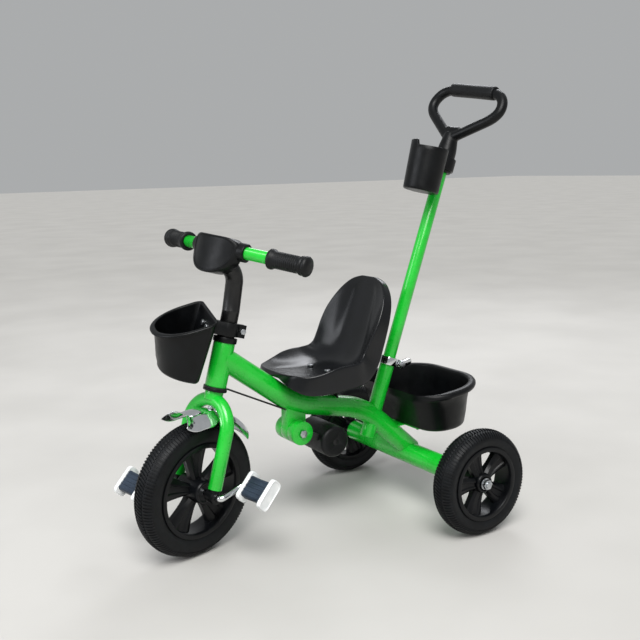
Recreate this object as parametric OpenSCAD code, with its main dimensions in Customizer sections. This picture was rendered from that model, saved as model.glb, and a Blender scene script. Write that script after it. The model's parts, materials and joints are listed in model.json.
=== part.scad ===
// Toddler trike with pedals, a bucket seat, two baskets and a push bar. Lengths in millimetres.
// X runs forward, Y to the rider's left, Z up. The front end rests turned a little to the left.

/* [Wheels] */
// Radius of the front wheel
front_wheel_r = 127; // [110:1:150]
// Radius of each rear wheel
rear_wheel_r = 102.3; // [85:0.1:120]
// Width of each tyre
tyre_w = 49; // [36:1:60]
// Radius at which the front tyre sits on its rim
front_rim_r = 86; // [70:1:96]
// Radius at which each rear tyre sits on its rim
rear_rim_r = 68; // [55:1:76]
// Spokes in each rim
spoke_count = 5; // [3:1:8]
// Distance between the front and the rear axle
wheelbase = 486.6; // [430:0.2:560]
// Distance between the middles of the rear tyres
rear_track = 446.8; // [380:0.2:520]
// Thickness of the rim barrel
rim_wall = 5; // [3:0.5:8]
// Radius of the front hub
front_hub_r = 22; // [16:1:30]
// Length of the front hub
front_hub_len = 62; // [52:1:68]
// Radius of each rear hub
rear_hub_r = 19; // [14:1:26]
// Thickness of the spokes along the axle
spoke_t = 26; // [12:1:34]
// Width of a spoke at the hub
spoke_hub_w = 20; // [10:1:21]
// Width of a front spoke at the rim
front_spoke_w = 56; // [20:1:64]
// Width of a rear spoke at the rim
rear_spoke_w = 42; // [16:1:48]

/* [Steering] */
// Lean of the steering axis
rake = 15.3; // [5:0.1:25]
// Turn of the front end at rest
steer_rest = 15.5; // [-40:0.5:40]
// Height of the head tube's foot above the front axle, along the steering axis
head_up = 190; // [180:1:230]
// Length of the head tube
head_len = 82; // [60:1:110]
// Outside diameter of the head tube
head_d = 40; // [34:0.5:50]
// Outside diameter of the fork tube
fork_d = 25.4; // [20:0.2:32]
// Distance between the middles of the fork legs
fork_gauge = 104; // [90:1:120]
// Height at which the fork legs turn into the crown
crown_up = 114; // [100:1:125]
// Diameter of the steerer
steerer_d = 22.2; // [18:0.2:25]
// Outside diameter of the stem
stem_d = 32; // [28:0.5:34]
// Height of the handlebar above the front axle, along the steering axis
bar_up = 437; // [400:1:480]
// Forward offset of the handlebar
bar_fore = 64; // [40:1:80]
// Diameter of the handlebar
bar_d = 22.2; // [18:0.2:26]
// Length of the handlebar tube
bar_len = 374; // [320:2:420]
// Backward sweep of each half of the handlebar
bar_sweep = 14; // [0:1:30]
// Tip of the handlebar to the right, as clamped
bar_tip = -1.5; // [-5:0.5:5]
// Length of each grip
grip_len = 80; // [70:1:110]
// Diameter of each grip
grip_d = 30; // [26:0.5:38]
// Diameter of each grip's flanges
grip_flange_d = 36; // [30:0.5:46]
// Width of the handlebar cover
cover_w = 112; // [80:1:140]
// Height of the handlebar cover
cover_h = 67; // [50:1:90]
// Depth of the handlebar cover
cover_depth = 36; // [28:1:50]

/* [Mudguard] */
// Outside radius of the mudguard
guard_r = 148.5; // [140:0.5:152]
// Width of the mudguard
guard_w = 76; // [54:1:80]
// Angle of the mudguard's front end
guard_front = 69; // [20:1:70]
// Angle of the mudguard's rear end
guard_rear = 126; // [110:1:150]
// Radius of the flare at its front end
guard_flare_r = 22; // [15:1:40]
// Thickness of the mudguard sheet
guard_t = 1.5; // [1:0.1:3]

/* [Cranks] */
// Diameter of the crank rod
crank_d = 11; // [9:0.5:14]
// Length of each crank arm
crank_len = 52; // [45:1:75]
// Angle of the left crank arm at rest
crank_rest = 148; // [0:1:360]
// Distance of the crank bend from the middle
crank_bend_y = 72; // [70:1:80]
// Distance of the pedal's inner end from the middle
pedal_in = 84; // [84:1:90]
// Length of a pedal over its caps
pedal_len = 62; // [50:1:80]
// Height of a pedal cap
pedal_h = 57; // [36:1:60]
// Thickness of a pedal cap's section
pedal_t = 26; // [20:1:32]
// Thickness of a pedal cap along the spindle
pedal_cap_t = 8; // [5:0.5:12]
// Turn of the pedals at rest
pedal_rest = 30; // [-180:1:180]

/* [Frame] */
// Diameter of the main tube
main_d = 42; // [36:0.5:50]
// Wall of the frame tubes
tube_wall = 1.8; // [1.2:0.1:3]
// Place of the main tube on the head tube, as a share of its length
main_up_share = 0.66; // [0.45:0.01:0.75]
// Forward position of the main tube's bend
main_bend_x = 274.4; // [240:0.2:310]
// Height of the main tube's bend
main_bend_z = 253; // [230:1:280]
// Radius of the main tube's bend
main_bend_r = 160; // [100:5:220]
// Forward position of the main tube's rear knee
knee_x = 111; // [105:1:120]
// Height of the main tube's rear knee
knee_z = 217; // [205:1:225]
// Diameter of the cross tube over the rear axle
cross_d = 44; // [40:0.5:50]
// Diameter of the rear axle
axle_d = 12; // [10:0.5:16]

/* [Footrest] */
// Forward position of the footrest's hinge barrel
hinge_x = 274; // [250:1:300]
// Height of the hinge barrel
hinge_z = 199; // [180:1:205]
// Diameter of the hinge barrel
hinge_d = 46; // [30:1:52]
// Length of the hinge barrel
hinge_len = 66; // [62:1:100]
// Diameter of the hinge pin
hinge_pin_d = 10; // [8:0.5:14]
// Diameter of the foot roller
roller_d = 62; // [40:1:66]
// Length of the foot roller
roller_len = 96; // [70:1:130]
// Distance from the hinge to the foot roller
roller_reach = 70; // [60:1:90]
// Turn of the foot roller's arm at rest
roller_rest = 201; // [195:1:270]

/* [Seat] */
// Forward position of the seat screws
seat_x = 214; // [190:1:240]
// Height of the seat's floor
seat_z = 312; // [305:1:330]
// Width of the seat
seat_w = 202; // [190:1:230]
// Length of the seat in front of and behind its screws
seat_len = 226; // [200:1:260]
// Height of the seat back above its floor
seat_back_h = 172; // [140:1:210]
// Thickness of the seat shell
seat_t = 4; // [3:0.5:6]
// Distance between the seat screws
seat_screw_gap = 62; // [40:1:80]

/* [Front basket] */
// Distance of the basket's back wall from the steering axis
fb_back = 40; // [36:1:60]
// Depth of the basket at its rim
fb_depth = 91; // [80:1:130]
// Width of the basket at its rim
fb_w = 126; // [110:1:190]
// Height of the rim at the back
fb_back_up = 324; // [310:1:360]
// Height of the rim at the front
fb_front_up = 273; // [250:1:310]
// Height of the basket's bottom
fb_floor_up = 200; // [192:1:220]
// Turn of the basket on the stem
fb_turn = -24; // [-40:1:30]
// Roll of the basket on its clamp
fb_roll = -13.5; // [-15:0.5:15]

/* [Rear tub] */
// Forward position of the tub's front rim
rb_front = 48; // [45:1:60]
// Length of the tub at its rim
rb_len = 159; // [140:1:200]
// Width of the tub at its rim
rb_w = 246; // [200:2:300]
// Height of the tub's floor
rb_floor_z = 170; // [165:1:190]
// Height of the rim at the front
rb_front_z = 250; // [215:1:260]
// Height of the rim at the rear
rb_rear_z = 266; // [230:1:290]

/* [Push bar] */
// Forward position of the push bar's foot
pole_x = 81.8; // [75:0.2:95]
// Height of the push bar's foot
pole_z = 208; // [200:1:215]
// Lean of the push bar
pole_lean = 20.2; // [10:0.1:30]
// Turn of the handle about the pole
handle_turn = 8; // [-30:1:30]
// Diameter of the pole
pole_d = 25.4; // [22:0.2:30]
// Diameter of the socket
socket_d = 30; // [28:0.5:36]
// Height of the socket, along the pole
socket_up = 112; // [90:1:140]
// Depth of the socket below the push bar's foot, along the pole
socket_down = 57; // [48:1:70]
// Height of the pole's foot, along the pole
pole_foot = 34; // [30:1:60]
// Height of the handle's neck, along the pole
neck_up = 505; // [400:5:560]
// Length of the neck
neck_len = 80; // [60:1:100]
// Diameter of the neck
neck_d = 40; // [34:0.5:48]
// Half width of the handle ring, to the middle of its tube
ring_half_w = 102; // [80:1:130]
// Height of the handle ring, to the middle of its tube
ring_h = 104; // [80:1:130]
// Backward bend of the handle ring
ring_bend = 11; // [0:1:30]
// Roll of the handle ring to the rider's left
ring_roll = 6; // [-15:1:15]
// Diameter of the handle ring's tube
ring_d = 21; // [14:0.5:24]
// Diameter of the soft grip sleeve
sleeve_d = 28; // [22:0.5:34]
// Length of the soft grip sleeve
sleeve_len = 120; // [90:2:122]

/* [Cup holder] */
// Diameter of the cup holder's cavity
cup_bore_d = 67; // [60:0.5:80]
// Depth of the cup holder's cavity
cup_depth = 88; // [60:1:120]
// Wall of the cup holder
cup_wall = 2.5; // [2:0.1:4]
// Outward draft of the cup holder, on its radius
cup_draft = 2.5; // [0:0.5:4]
// Height of the cup holder's foot, along the pole
cup_up = 448; // [430:1:480]
// Forward offset of the cup holder's foot
cup_fore = 54; // [50:0.5:70]
// Turn of the cup holder about the pole, against the handle
cup_turn = 11; // [-30:1:30]
// Forward tilt of the cup holder against the pole
cup_tilt = 6; // [0:0.2:15]

/* [Hidden] */
$fn = 48;

paint_green = [0.13, 0.76, 0.23];
dark = [0.06, 0.065, 0.075];
rubber_black = [0.035, 0.035, 0.04];
bright = [0.82, 0.83, 0.85];
cap_white = [0.9, 0.91, 0.92];
slate = [0.16, 0.19, 0.24];

// Clearances, and the overrun of every cut
run_gap = 0.05;
slide_gap = 0.1;
seat_gap = 0.3;
over = 5;

// Bends of tubes and rods
bend_swell = 0.06;
bend_lap = 0.6;

// Wheels
bead_w = 38;
bead_rise = 12;
flange_rise = 3.5;
flange_w = 23.5;
crown_r_share = 1.35;
groove_r = 1.6;
groove_y = 8;
spoke_bite = 4;

// Rear axle
axle_r = axle_d / 2;
wheel_inset = 27.4;
boss_out = rear_track / 2 - wheel_inset;
bushing_flange_t = 4;
bushing_len = 22;
main_tail_x = -10;
main_tail_up = 5;
hub_in_gap = 0.4;
hub_out_y = 18;
washer_r = 11;
washer_t = 1.8;
nut_r = 10;
nut_t = 7;
axle_tail = 2.5;

// Steering
head_r = head_d / 2;
head_top = head_up + head_len;
main_up = head_up + head_len * main_up_share;
cup_flange_r = 22;
cup_sleeve_len = 14;
stop_t = 3;
stop_w = 16;
stop_flat = 20;
stop_end_fore = 22;
stop_end_drop = 9.7;
race_r = 17;
race_t = 4.5;
lower_cup_t = 5.4;
upper_cup_t = 10;
crown_mid_up = crown_up + fork_gauge / 2;
race_top = head_up - stop_t - lower_cup_t - seat_gap;
leg_foot_up = 13;
bearing_r = 13;
bearing_w = 20;
plug_len = 26;
stem_foot_up = head_top + upper_cup_t + seat_gap;
steerer_top = 322;
stem_wall = (stem_d - steerer_d) / 2 - slide_gap;
stem_bend_up = 330;
stem_bend_r = 32;
stem_lean_fore = 7;
stem_lean_up = 394;
bar_wall = 1.6;
bar_bend_r = 40;
cover_back = 15;
cover_top = 20;
cover_crown_r = 95;
cover_collar_d = 33;
cover_collar_w = 9;
cover_corner_share = 0.16;
shield_power = 0.95;
shield_steps = 24;
grip_end_t = 5;
grip_flange_t = 6;
grip_rib_r = 1;
grip_rib_step = 9;
grip_rib_count = 7;

// Mudguard
guard_crown_r = 42;
guard_flare_turn = 46;
guard_bolt_r = 3;
guard_gap = 1;
guard_nut_r = 6;
guard_nut_t = 4;
guard_spacer_ease = 0.8;

// Cranks and pedals
crank_r = crank_d / 2;
crank_corner_r = 7;
crank_splay = 4;
pedal_end_gap = 1;
pedal_core_share = 0.72;
pedal_waist_share = 0.8;
pedal_corner_share = 0.3;

// Front basket and its clamp
tub_wall = 3;
tub_lip = 5;
tub_lip_h = 5;
tub_arc_steps = 9;
tub_least_r = 1;
fb_floor_depth_share = 0.74;
fb_floor_w_share = 0.86;
fb_back_r = 12;
fb_front_r = 58;
fb_corner = 14;
clamp_up = 285;
clamp_h = 24;
clamp_w = 40;
clamp_ring_wall = 6;
clamp_lug = 32;
clamp_lug_w = 22;
clamp_slit = 3;
clamp_pinch_x = 27;
clamp_screw_y = 13;
clamp_screw_r = 2.5;
clamp_head_r = 5.5;
clamp_head_t = 3;
clamp_screw_len = 14;

// Rear tub
rb_floor_front = 24;
rb_floor_len_share = 0.8;
rb_floor_w_share = 0.92;
rb_corner = 18;
rb_lip = 13;
rb_lip_h = 13;
rb_front_r = 46;
rb_rear_r = 84;
tub_plate_t = 3;
tub_plate_front = 46;
tub_plate_back = -16;
tub_plate_half_w = 58;
tub_pad_front = 16;
tub_neck_half_w = 16;
tub_screw_x = 6;
tub_screw_y = 45;
screw_r = 3;
screw_head_r = 6;
screw_head_t = 3.2;
screw_tail = 8;

// Seat: the profile through the middle, the half width, the raised edge and the skirt, row by row
seat_rows = 17;
seat_cols = 14;
seat_row_step = 2;
seat_fore_shares = [0.45, 0.432, 0.388, 0.314, 0.212, 0.115, 0, -0.106, -0.204, -0.283, -0.336,
    -0.381, -0.425, -0.465, -0.496, -0.518, -0.527];
seat_rise_shares = [0.058, 0.052, 0.04, 0.02, 0.006, 0, 0, 0.006, 0.035, 0.116, 0.244, 0.407, 0.57,
    0.721, 0.849, 0.942, 0.985];
seat_half_shares = [0.13, 0.25, 0.345, 0.42, 0.467, 0.49, 0.5, 0.5, 0.47, 0.446, 0.45, 0.465, 0.455,
    0.41, 0.335, 0.235, 0.11];
seat_edge_shares = [0, 0.006, 0.015, 0.03, 0.066, 0.102, 0.12, 0.119, 0.122, 0.13, 0.126, 0.107,
    0.084, 0.055, 0.03, 0.01, 0];
seat_skirt_shares = [0.036, 0.11, 0.152, 0.178, 0.205, 0.225, 0.23, 0.228, 0.222, 0.21, 0.185, 0.15,
    0.125, 0.105, 0.09, 0.07, 0.05];
skirt_roll_share = 0.012;
skirt_bulge_share = 0.75;
seat_inset_share = 0.6;
seat_wall_share = 0.75;
seat_way_share = 0.1;
edge_power = 3;
bracket_t = 3;
bracket_half_w = 42;
bracket_front = 262;
bracket_back = 178;
bracket_leg_half_w = 12;

// Footrest
knuckle_half_w = 12;
knuckle_plate = 20;
knuckle_gap = 0.4;
pin_head_r = 8;
pin_head_t = 5;
roller_pin_r = 6;
roller_end_r = 8;
arm_w = 14;
arm_y = 24;
arm_t = 12;

// Push bar
pole_r = pole_d / 2;
pole_wall = 1.5;
socket_r = socket_d / 2;
collar_up = 95;
collar_h = 16;
collar_t = 3.5;
collar_slit = 4;
lug_back = 34;
lug_half_w = 9;
lug_bolt_back = 26;
lug_bolt_r = 3;
lever_gap = 0.4;
lever_t = 8;
lever_w = 13;
lever_len = 20;
lever_boss_r = 8;
lever_rest = 150;
bolt_head_r = 5.5;
bolt_head_t = 4;
neck_straight = 46;
neck_top_r = 13;
neck_ball_r = 14;
neck_bore_len = 52;
ring_side_h_share = 0.55;
ring_top_w_share = 0.8;
ring_corner_r = 30;
ring_foot = 8;
cup_foot_t = 3;
cup_rim_r = cup_bore_d / 2 + cup_wall + cup_draft;
cup_lip_h = 9;
cup_lip_step = 0.8;
cup_lip_turn = 70;
cup_lip_at = -40;
cup_lip_ease = 0.7;
cup_clip_up = 510;
cup_clip_h = 26;
cup_clip_t = 4;
neck_screw_r = 2.5;
neck_screw_head_r = 5;
neck_screw_head_t = 3;
neck_screw_up = 545;

// Points and lines of the frame
sin_rake = sin(rake);
cos_rake = cos(rake);
main_head = [wheelbase - main_up * sin_rake, 0, front_wheel_r + main_up * cos_rake];
main_bend = [main_bend_x, 0, main_bend_z];
main_knee = [knee_x, 0, knee_z];
main_end = [main_tail_x, 0, rear_wheel_r + main_tail_up];
stop_up = head_up - stop_t;
stop_foot = [wheelbase - stop_up * sin_rake - stop_flat * cos_rake, 0,
    front_wheel_r + stop_up * cos_rake - stop_flat * sin_rake];
stop_end = main_bend + [stop_end_fore, 0, -stop_end_drop];
main_path = [main_head, main_bend, main_knee, main_end];
cross_half = boss_out - bushing_flange_t;
crank_dir = [cos(crank_rest), 0, sin(crank_rest)];
pedal_mid = pedal_in + pedal_len / 2;
spindle_end = pedal_in + pedal_len - pedal_cap_t / 2;
bar_end = [-sin(bar_sweep) * bar_len / 2, cos(bar_sweep) * bar_len / 2, 0];
bar_path = [bar_end, [0, 0, 0], [bar_end.x, -bar_end.y, 0]];
stem_path = [[0, 0, stem_foot_up], [0, 0, stem_bend_up], [stem_lean_fore, 0, stem_lean_up],
    [bar_fore, 0, bar_up]];
ring_path = [[0, 0, -ring_foot], [0, ring_half_w, ring_h * ring_side_h_share],
    [0, ring_half_w * ring_top_w_share, ring_h], [0, -ring_half_w * ring_top_w_share, ring_h],
    [0, -ring_half_w, ring_h * ring_side_h_share], [0, 0, -ring_foot]];
ring_up = neck_up + neck_len;
tyre_crown_r = tyre_w / 2 * crown_r_share;
front_tip = wheelbase + tyre_crown_r
    + (front_wheel_r - tyre_crown_r) * sqrt(1 - pow(sin(steer_rest) * cos_rake, 2));
sleeve_y = ring_h * sin(ring_roll) + sleeve_len / 2 * cos(ring_roll);
sleeve_z = ring_h * cos(ring_roll) - sleeve_len / 2 * sin(ring_roll);
ring_rear = ring_up * sin(pole_lean) + sleeve_z * sin(pole_lean + ring_bend)
    + sleeve_y * sin(handle_turn) * cos(pole_lean) + sleeve_d / 2 - pole_x;
frame_shift = (ring_rear - front_tip) / 2;

// Vectors
function unit(v) = v / norm(v);
function turn_of(a, b, c) = acos(unit(b - a) * unit(c - b));
function frame_at(x, y, z, o) =
    [[x.x, y.x, z.x, o.x], [x.y, y.y, z.y, o.y], [x.z, y.z, z.z, o.z], [0, 0, 0, 1]];
function lead(p, i, r) = i == 0 || i == len(p) - 1 ? 0 : r * tan(turn_of(p[i - 1], p[i], p[i + 1]) / 2);

// Axes
module along_y() rotate([-90, 0, 0]) children();
module spin_y() rotate([90, 0, 0]) children();
module steer_axis() translate([wheelbase, 0, front_wheel_r]) rotate([0, -rake, 0]) children();
module steered() steer_axis() rotate([0, 0, steer_rest]) children();
module pole_axis() translate([pole_x, 0, pole_z]) rotate([0, -pole_lean, 0])
    rotate([0, 0, handle_turn]) children();
module ring_axis() pole_axis() translate([0, 0, ring_up]) rotate([0, -ring_bend, 0])
    rotate([-ring_roll, 0, 0]) children();
module placed() translate([frame_shift, 0, 0]) children();
module both_sides() {
    children();
    mirror([0, 1, 0]) children();
}

// A ring or, without a wall, a disc
module section(r, wall) {
    difference() {
        circle(r);
        if (wall > 0) circle(r - wall);
    }
}

// A straight tube between two points, turned so that it meets the bends of its plane face to face
module pipe(a, b, n, r, wall) {
    d = unit(b - a);
    e = cross(d, n);
    multmatrix(frame_at(e, -n, d, a)) linear_extrude(norm(b - a)) section(r, wall);
}

// A tube along a path in one plane, with every corner bent to the same radius; no wall makes it solid.
// A bend swells a little and takes in the ends of the straights, as a bent tube does.
module bent_pipe(p, r, wall, bend_r) {
    last = len(p) - 2;
    flat = unit(cross(p[1] - p[0], p[2] - p[1]));
    for (i = [0 : last]) {
        d = unit(p[i + 1] - p[i]);
        a = p[i] + d * (i > 0 ? lead(p, i, bend_r) - bend_lap : 0);
        b = p[i + 1] - d * (i < last ? lead(p, i + 1, bend_r) - bend_lap : 0);
        pipe(a, b, flat, r, wall);
    }
    for (i = [1 : last]) {
        d = unit(p[i] - p[i - 1]);
        n = unit(cross(d, unit(p[i + 1] - p[i])));
        e = cross(d, n);
        multmatrix(frame_at(e, d, n, p[i] - d * lead(p, i, bend_r) - e * bend_r))
            rotate_extrude(angle = turn_of(p[i - 1], p[i], p[i + 1]))
                translate([bend_r, 0]) section(r + bend_swell, wall > 0 ? wall + bend_swell * 2 : 0);
    }
}

// A tube with a round hole, along Z
module sleeve(h, r, bore_r) {
    difference() {
        cylinder(h = h, r = r);
        translate([0, 0, -over]) cylinder(h = h + over * 2, r = bore_r);
    }
}

// A hexagon nut or bolt head
module hex(h, r) linear_extrude(h) circle(r, $fn = 6);

// A round-cornered rectangle from boxes and discs
module round_rect(w, h, r) {
    square([w - r * 2, h], center = true);
    square([w, h - r * 2], center = true);
    for (x = [-1, 1], y = [-1, 1]) translate([x * (w / 2 - r), y * (h / 2 - r)]) circle(r);
}

// A closed skin through rings of equal count, capped at the first and the last ring
module skin(rings) {
    n = len(rings[0]);
    m = len(rings);
    points = [for (r = rings) each r];
    foot = [[for (i = [0 : n - 1]) i]];
    top = [[for (i = [n - 1 : -1 : 0]) (m - 1) * n + i]];
    sides = [for (j = [0 : m - 2], i = [0 : n - 1]) each [
        [j * n + i, (j + 1) * n + (i + 1) % n, j * n + (i + 1) % n],
        [j * n + i, (j + 1) * n + i, (j + 1) * n + (i + 1) % n]]];
    polyhedron(points = points, faces = concat(foot, top, sides), convexity = 8);
}

// Wheels

module tyre(r, rim_r) {
    spin_y() rotate_extrude($fn = 96)
        difference() {
            intersection() {
                polygon([[rim_r, -bead_w / 2], [rim_r, bead_w / 2], [rim_r + bead_rise, tyre_w / 2],
                    [r, tyre_w / 2], [r, -tyre_w / 2], [rim_r + bead_rise, -tyre_w / 2]]);
                translate([r - tyre_crown_r, 0]) circle(tyre_crown_r, $fn = 96);
            }
            for (y = [-1, 1]) translate([r - groove_r / 2, y * groove_y]) circle(groove_r, $fn = 24);
        }
}

module rim(rim_r, hub_r, hub_from, hub_to, bore_r, spoke_w) {
    lip_y = bead_w / 2 + flange_rise / bead_rise * (tyre_w - bead_w) / 2;
    inner = rim_r - rim_wall;
    spoke_from = hub_r - spoke_bite;
    spoke_to = rim_r - rim_wall / 2;
    difference() {
        union() {
            spin_y() rotate_extrude($fn = 96)
                polygon([[inner, -flange_w], [rim_r + flange_rise, -flange_w],
                    [rim_r + flange_rise, -lip_y], [rim_r, -bead_w / 2], [rim_r, bead_w / 2],
                    [rim_r + flange_rise, lip_y], [rim_r + flange_rise, flange_w], [inner, flange_w]]);
            along_y() translate([0, 0, hub_from]) cylinder(h = hub_to - hub_from, r = hub_r);
            for (i = [0 : spoke_count - 1])
                rotate([0, i * 360 / spoke_count, 0])
                    spin_y() translate([0, 0, -spoke_t / 2]) linear_extrude(spoke_t)
                        intersection() {
                            circle(spoke_to, $fn = 96);
                            polygon([[spoke_from, -spoke_hub_w / 2], [rim_r, -spoke_w / 2],
                                [rim_r, spoke_w / 2], [spoke_from, spoke_hub_w / 2]]);
                        }
        }
        along_y() translate([0, 0, hub_from - over])
            cylinder(h = hub_to - hub_from + over * 2, r = bore_r);
    }
}

module at_rear_wheel() translate([0, rear_track / 2, rear_wheel_r]) children();
module rear_rim() at_rear_wheel()
    rim(rear_rim_r, rear_hub_r, boss_out + hub_in_gap - rear_track / 2, hub_out_y, axle_r + run_gap,
        rear_spoke_w);

module front_rim() color(dark) steered()
    rim(front_rim_r, front_hub_r, -front_hub_len / 2, front_hub_len / 2, crank_r, front_spoke_w);
module front_tyre() color(rubber_black) steered() tyre(front_wheel_r, front_rim_r);
module rear_left_rim() color(dark) rear_rim();
module rear_left_tyre() color(rubber_black) at_rear_wheel() tyre(rear_wheel_r, rear_rim_r);
module rear_right_rim() color(dark) mirror([0, 1, 0]) rear_rim();
module rear_right_tyre() color(rubber_black) mirror([0, 1, 0])
    at_rear_wheel() tyre(rear_wheel_r, rear_rim_r);

// Frame

module main_solid() bent_pipe(main_path, main_d / 2, 0, main_bend_r);
module cross_solid() translate([0, 0, rear_wheel_r]) along_y()
    cylinder(h = cross_half * 2, r = cross_d / 2, center = true);
module head_solid(extra) steer_axis() translate([0, 0, head_up - extra])
    cylinder(h = head_len + extra * 2, r = head_r);

module head_tube() color(paint_green) steer_axis() translate([0, 0, head_up])
    sleeve(head_len, head_r, head_r - tube_wall);

module main_tube() color(paint_green)
    difference() {
        union() {
            bent_pipe(main_path, main_d / 2, tube_wall, main_bend_r);
            pipe(main_end, main_end + unit(main_knee - main_end) * tube_wall, [0, 1, 0], main_d / 2, 0);
        }
        head_solid(over);
        cross_solid();
    }

module cross_tube() color(paint_green)
    difference() {
        cross_solid();
        translate([0, 0, rear_wheel_r]) along_y()
            cylinder(h = boss_out * 3, r = cross_d / 2 - tube_wall, center = true);
    }

module axle_bushings() color(dark)
    both_sides() translate([0, cross_half - bushing_len, rear_wheel_r]) along_y()
        difference() {
            union() {
                cylinder(h = bushing_len + bushing_flange_t, r = cross_d / 2 - tube_wall);
                translate([0, 0, bushing_len]) cylinder(h = bushing_flange_t, r = cross_d / 2);
            }
            translate([0, 0, -over]) cylinder(h = bushing_len + bushing_flange_t + over * 2, r = axle_r);
        }

module rear_axle() color(bright) translate([0, 0, rear_wheel_r]) along_y()
    cylinder(h = (rear_track / 2 + hub_out_y + hub_in_gap + washer_t + nut_t + axle_tail) * 2,
        r = axle_r, center = true);

module rear_axle_nuts() color(bright)
    both_sides() translate([0, rear_track / 2 + hub_out_y + hub_in_gap, rear_wheel_r]) along_y()
        difference() {
            union() {
                cylinder(h = washer_t, r = washer_r);
                translate([0, 0, washer_t]) hex(nut_t, nut_r);
            }
            translate([0, 0, -over]) cylinder(h = washer_t + nut_t + over * 2, r = axle_r);
        }

module headset_lower() color(dark) steer_axis() translate([0, 0, head_up - stop_t - lower_cup_t])
    difference() {
        union() {
            cylinder(h = lower_cup_t, r = cup_flange_r);
            cylinder(h = lower_cup_t + stop_t + cup_sleeve_len, r = head_r - tube_wall);
        }
        translate([0, 0, -over])
            cylinder(h = head_len, r = steerer_d / 2 + run_gap);
    }

module headset_upper() color(dark) steer_axis() translate([0, 0, head_top])
    difference() {
        union() {
            cylinder(h = upper_cup_t, r = cup_flange_r);
            translate([0, 0, -cup_sleeve_len]) cylinder(h = cup_sleeve_len + over, r = head_r - tube_wall);
        }
        translate([0, 0, -head_len / 2]) cylinder(h = head_len, r = steerer_d / 2 + run_gap);
    }

module stop_strap() {
    d = unit(stop_foot - stop_end);
    multmatrix(frame_at(d, [0, 1, 0], cross(d, [0, 1, 0]), stop_end)) translate([0, -stop_w / 2, 0])
        cube([norm(stop_foot - stop_end), stop_w, stop_t]);
}

module stop_plate() color(dark)
    difference() {
        union() {
            steer_axis() translate([0, 0, stop_up]) {
                cylinder(h = stop_t, r = cup_flange_r);
                translate([-stop_flat, -stop_w / 2, 0]) cube([stop_flat, stop_w, stop_t]);
            }
            stop_strap();
        }
        steer_axis() translate([0, 0, stop_up - over])
            cylinder(h = stop_t + over * 2, r = head_r - tube_wall);
        main_solid();
    }

module push_bar_socket() color(paint_green)
    difference() {
        pole_axis() translate([0, 0, -socket_down])
            sleeve(socket_up + socket_down, socket_r, pole_r + slide_gap);
        main_solid();
    }

module seat_bracket() color(dark)
    difference() {
        union() {
            translate([bracket_back, -bracket_half_w, seat_z - seat_t - bracket_t])
                cube([bracket_front - bracket_back, bracket_half_w * 2, bracket_t]);
            for (x = [bracket_back, bracket_front - bracket_t])
                translate([x, -bracket_leg_half_w, main_bend_z - main_d / 4])
                    cube([bracket_t, bracket_leg_half_w * 2, seat_z - seat_t - main_bend_z + main_d / 4]);
        }
        main_solid();
        seat_holes(screw_r);
    }

module tub_bracket() color(paint_green)
    difference() {
        translate([0, 0, rb_floor_z - tub_plate_t]) {
            translate([tub_plate_back, -tub_plate_half_w, 0])
                cube([tub_pad_front - tub_plate_back, tub_plate_half_w * 2, tub_plate_t]);
            translate([tub_plate_back, -tub_neck_half_w, 0])
                cube([tub_plate_front - tub_plate_back, tub_neck_half_w * 2, tub_plate_t]);
        }
        main_solid();
        tub_holes(screw_r);
    }

// Footrest

module at_hinge() translate([hinge_x, 0, hinge_z]) children();
module at_roller() at_hinge() rotate([0, -roller_rest, 0]) translate([roller_reach, 0, 0]) children();

module footrest_bracket() color(paint_green)
    difference() {
        at_hinge() {
            along_y() cylinder(h = knuckle_half_w * 2, r = hinge_d / 2, center = true);
            translate([-knuckle_plate, -knuckle_half_w, 0])
                cube([knuckle_plate * 2, knuckle_half_w * 2, main_bend_z - hinge_z]);
        }
        at_hinge() along_y() cylinder(h = hinge_len * 2, r = hinge_pin_d / 2, center = true);
        main_solid();
    }

module footrest_pin() color(bright) at_hinge() along_y() {
    cylinder(h = hinge_len + knuckle_gap * 2, r = hinge_pin_d / 2, center = true);
    for (side = [0, 1]) mirror([0, 0, side])
        translate([0, 0, hinge_len / 2 + knuckle_gap]) hex(pin_head_t, pin_head_r);
}

module footrest_barrel() color(paint_green) at_hinge() both_sides() along_y()
    translate([0, 0, knuckle_half_w + knuckle_gap])
        sleeve(hinge_len / 2 - knuckle_half_w - knuckle_gap, hinge_d / 2, hinge_pin_d / 2 + run_gap);

module arm_bars() at_hinge() rotate([0, -roller_rest, 0])
    both_sides() translate([0, arm_y - arm_w / 2, -arm_t / 2]) cube([roller_reach, arm_w, arm_t]);

module footrest_arm() color(dark)
    difference() {
        union() {
            arm_bars();
            at_roller() along_y() cylinder(h = roller_len, r = roller_pin_r, center = true);
        }
        at_hinge() along_y() cylinder(h = hinge_len, r = hinge_d / 2, center = true);
    }

module foot_roller() color(dark)
    difference() {
        at_roller() along_y() rotate_extrude($fn = 72)
            difference() {
                union() {
                    square([roller_d / 2 - roller_end_r, roller_len / 2]);
                    square([roller_d / 2, roller_len / 2 - roller_end_r]);
                    translate([roller_d / 2 - roller_end_r, roller_len / 2 - roller_end_r])
                        circle(roller_end_r);
                    mirror([0, 1]) {
                        square([roller_d / 2 - roller_end_r, roller_len / 2]);
                        square([roller_d / 2, roller_len / 2 - roller_end_r]);
                        translate([roller_d / 2 - roller_end_r, roller_len / 2 - roller_end_r])
                            circle(roller_end_r);
                    }
                }
                translate([0, -roller_len]) square([roller_pin_r, roller_len * 2]);
            }
        arm_bars();
    }

// Seat

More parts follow.
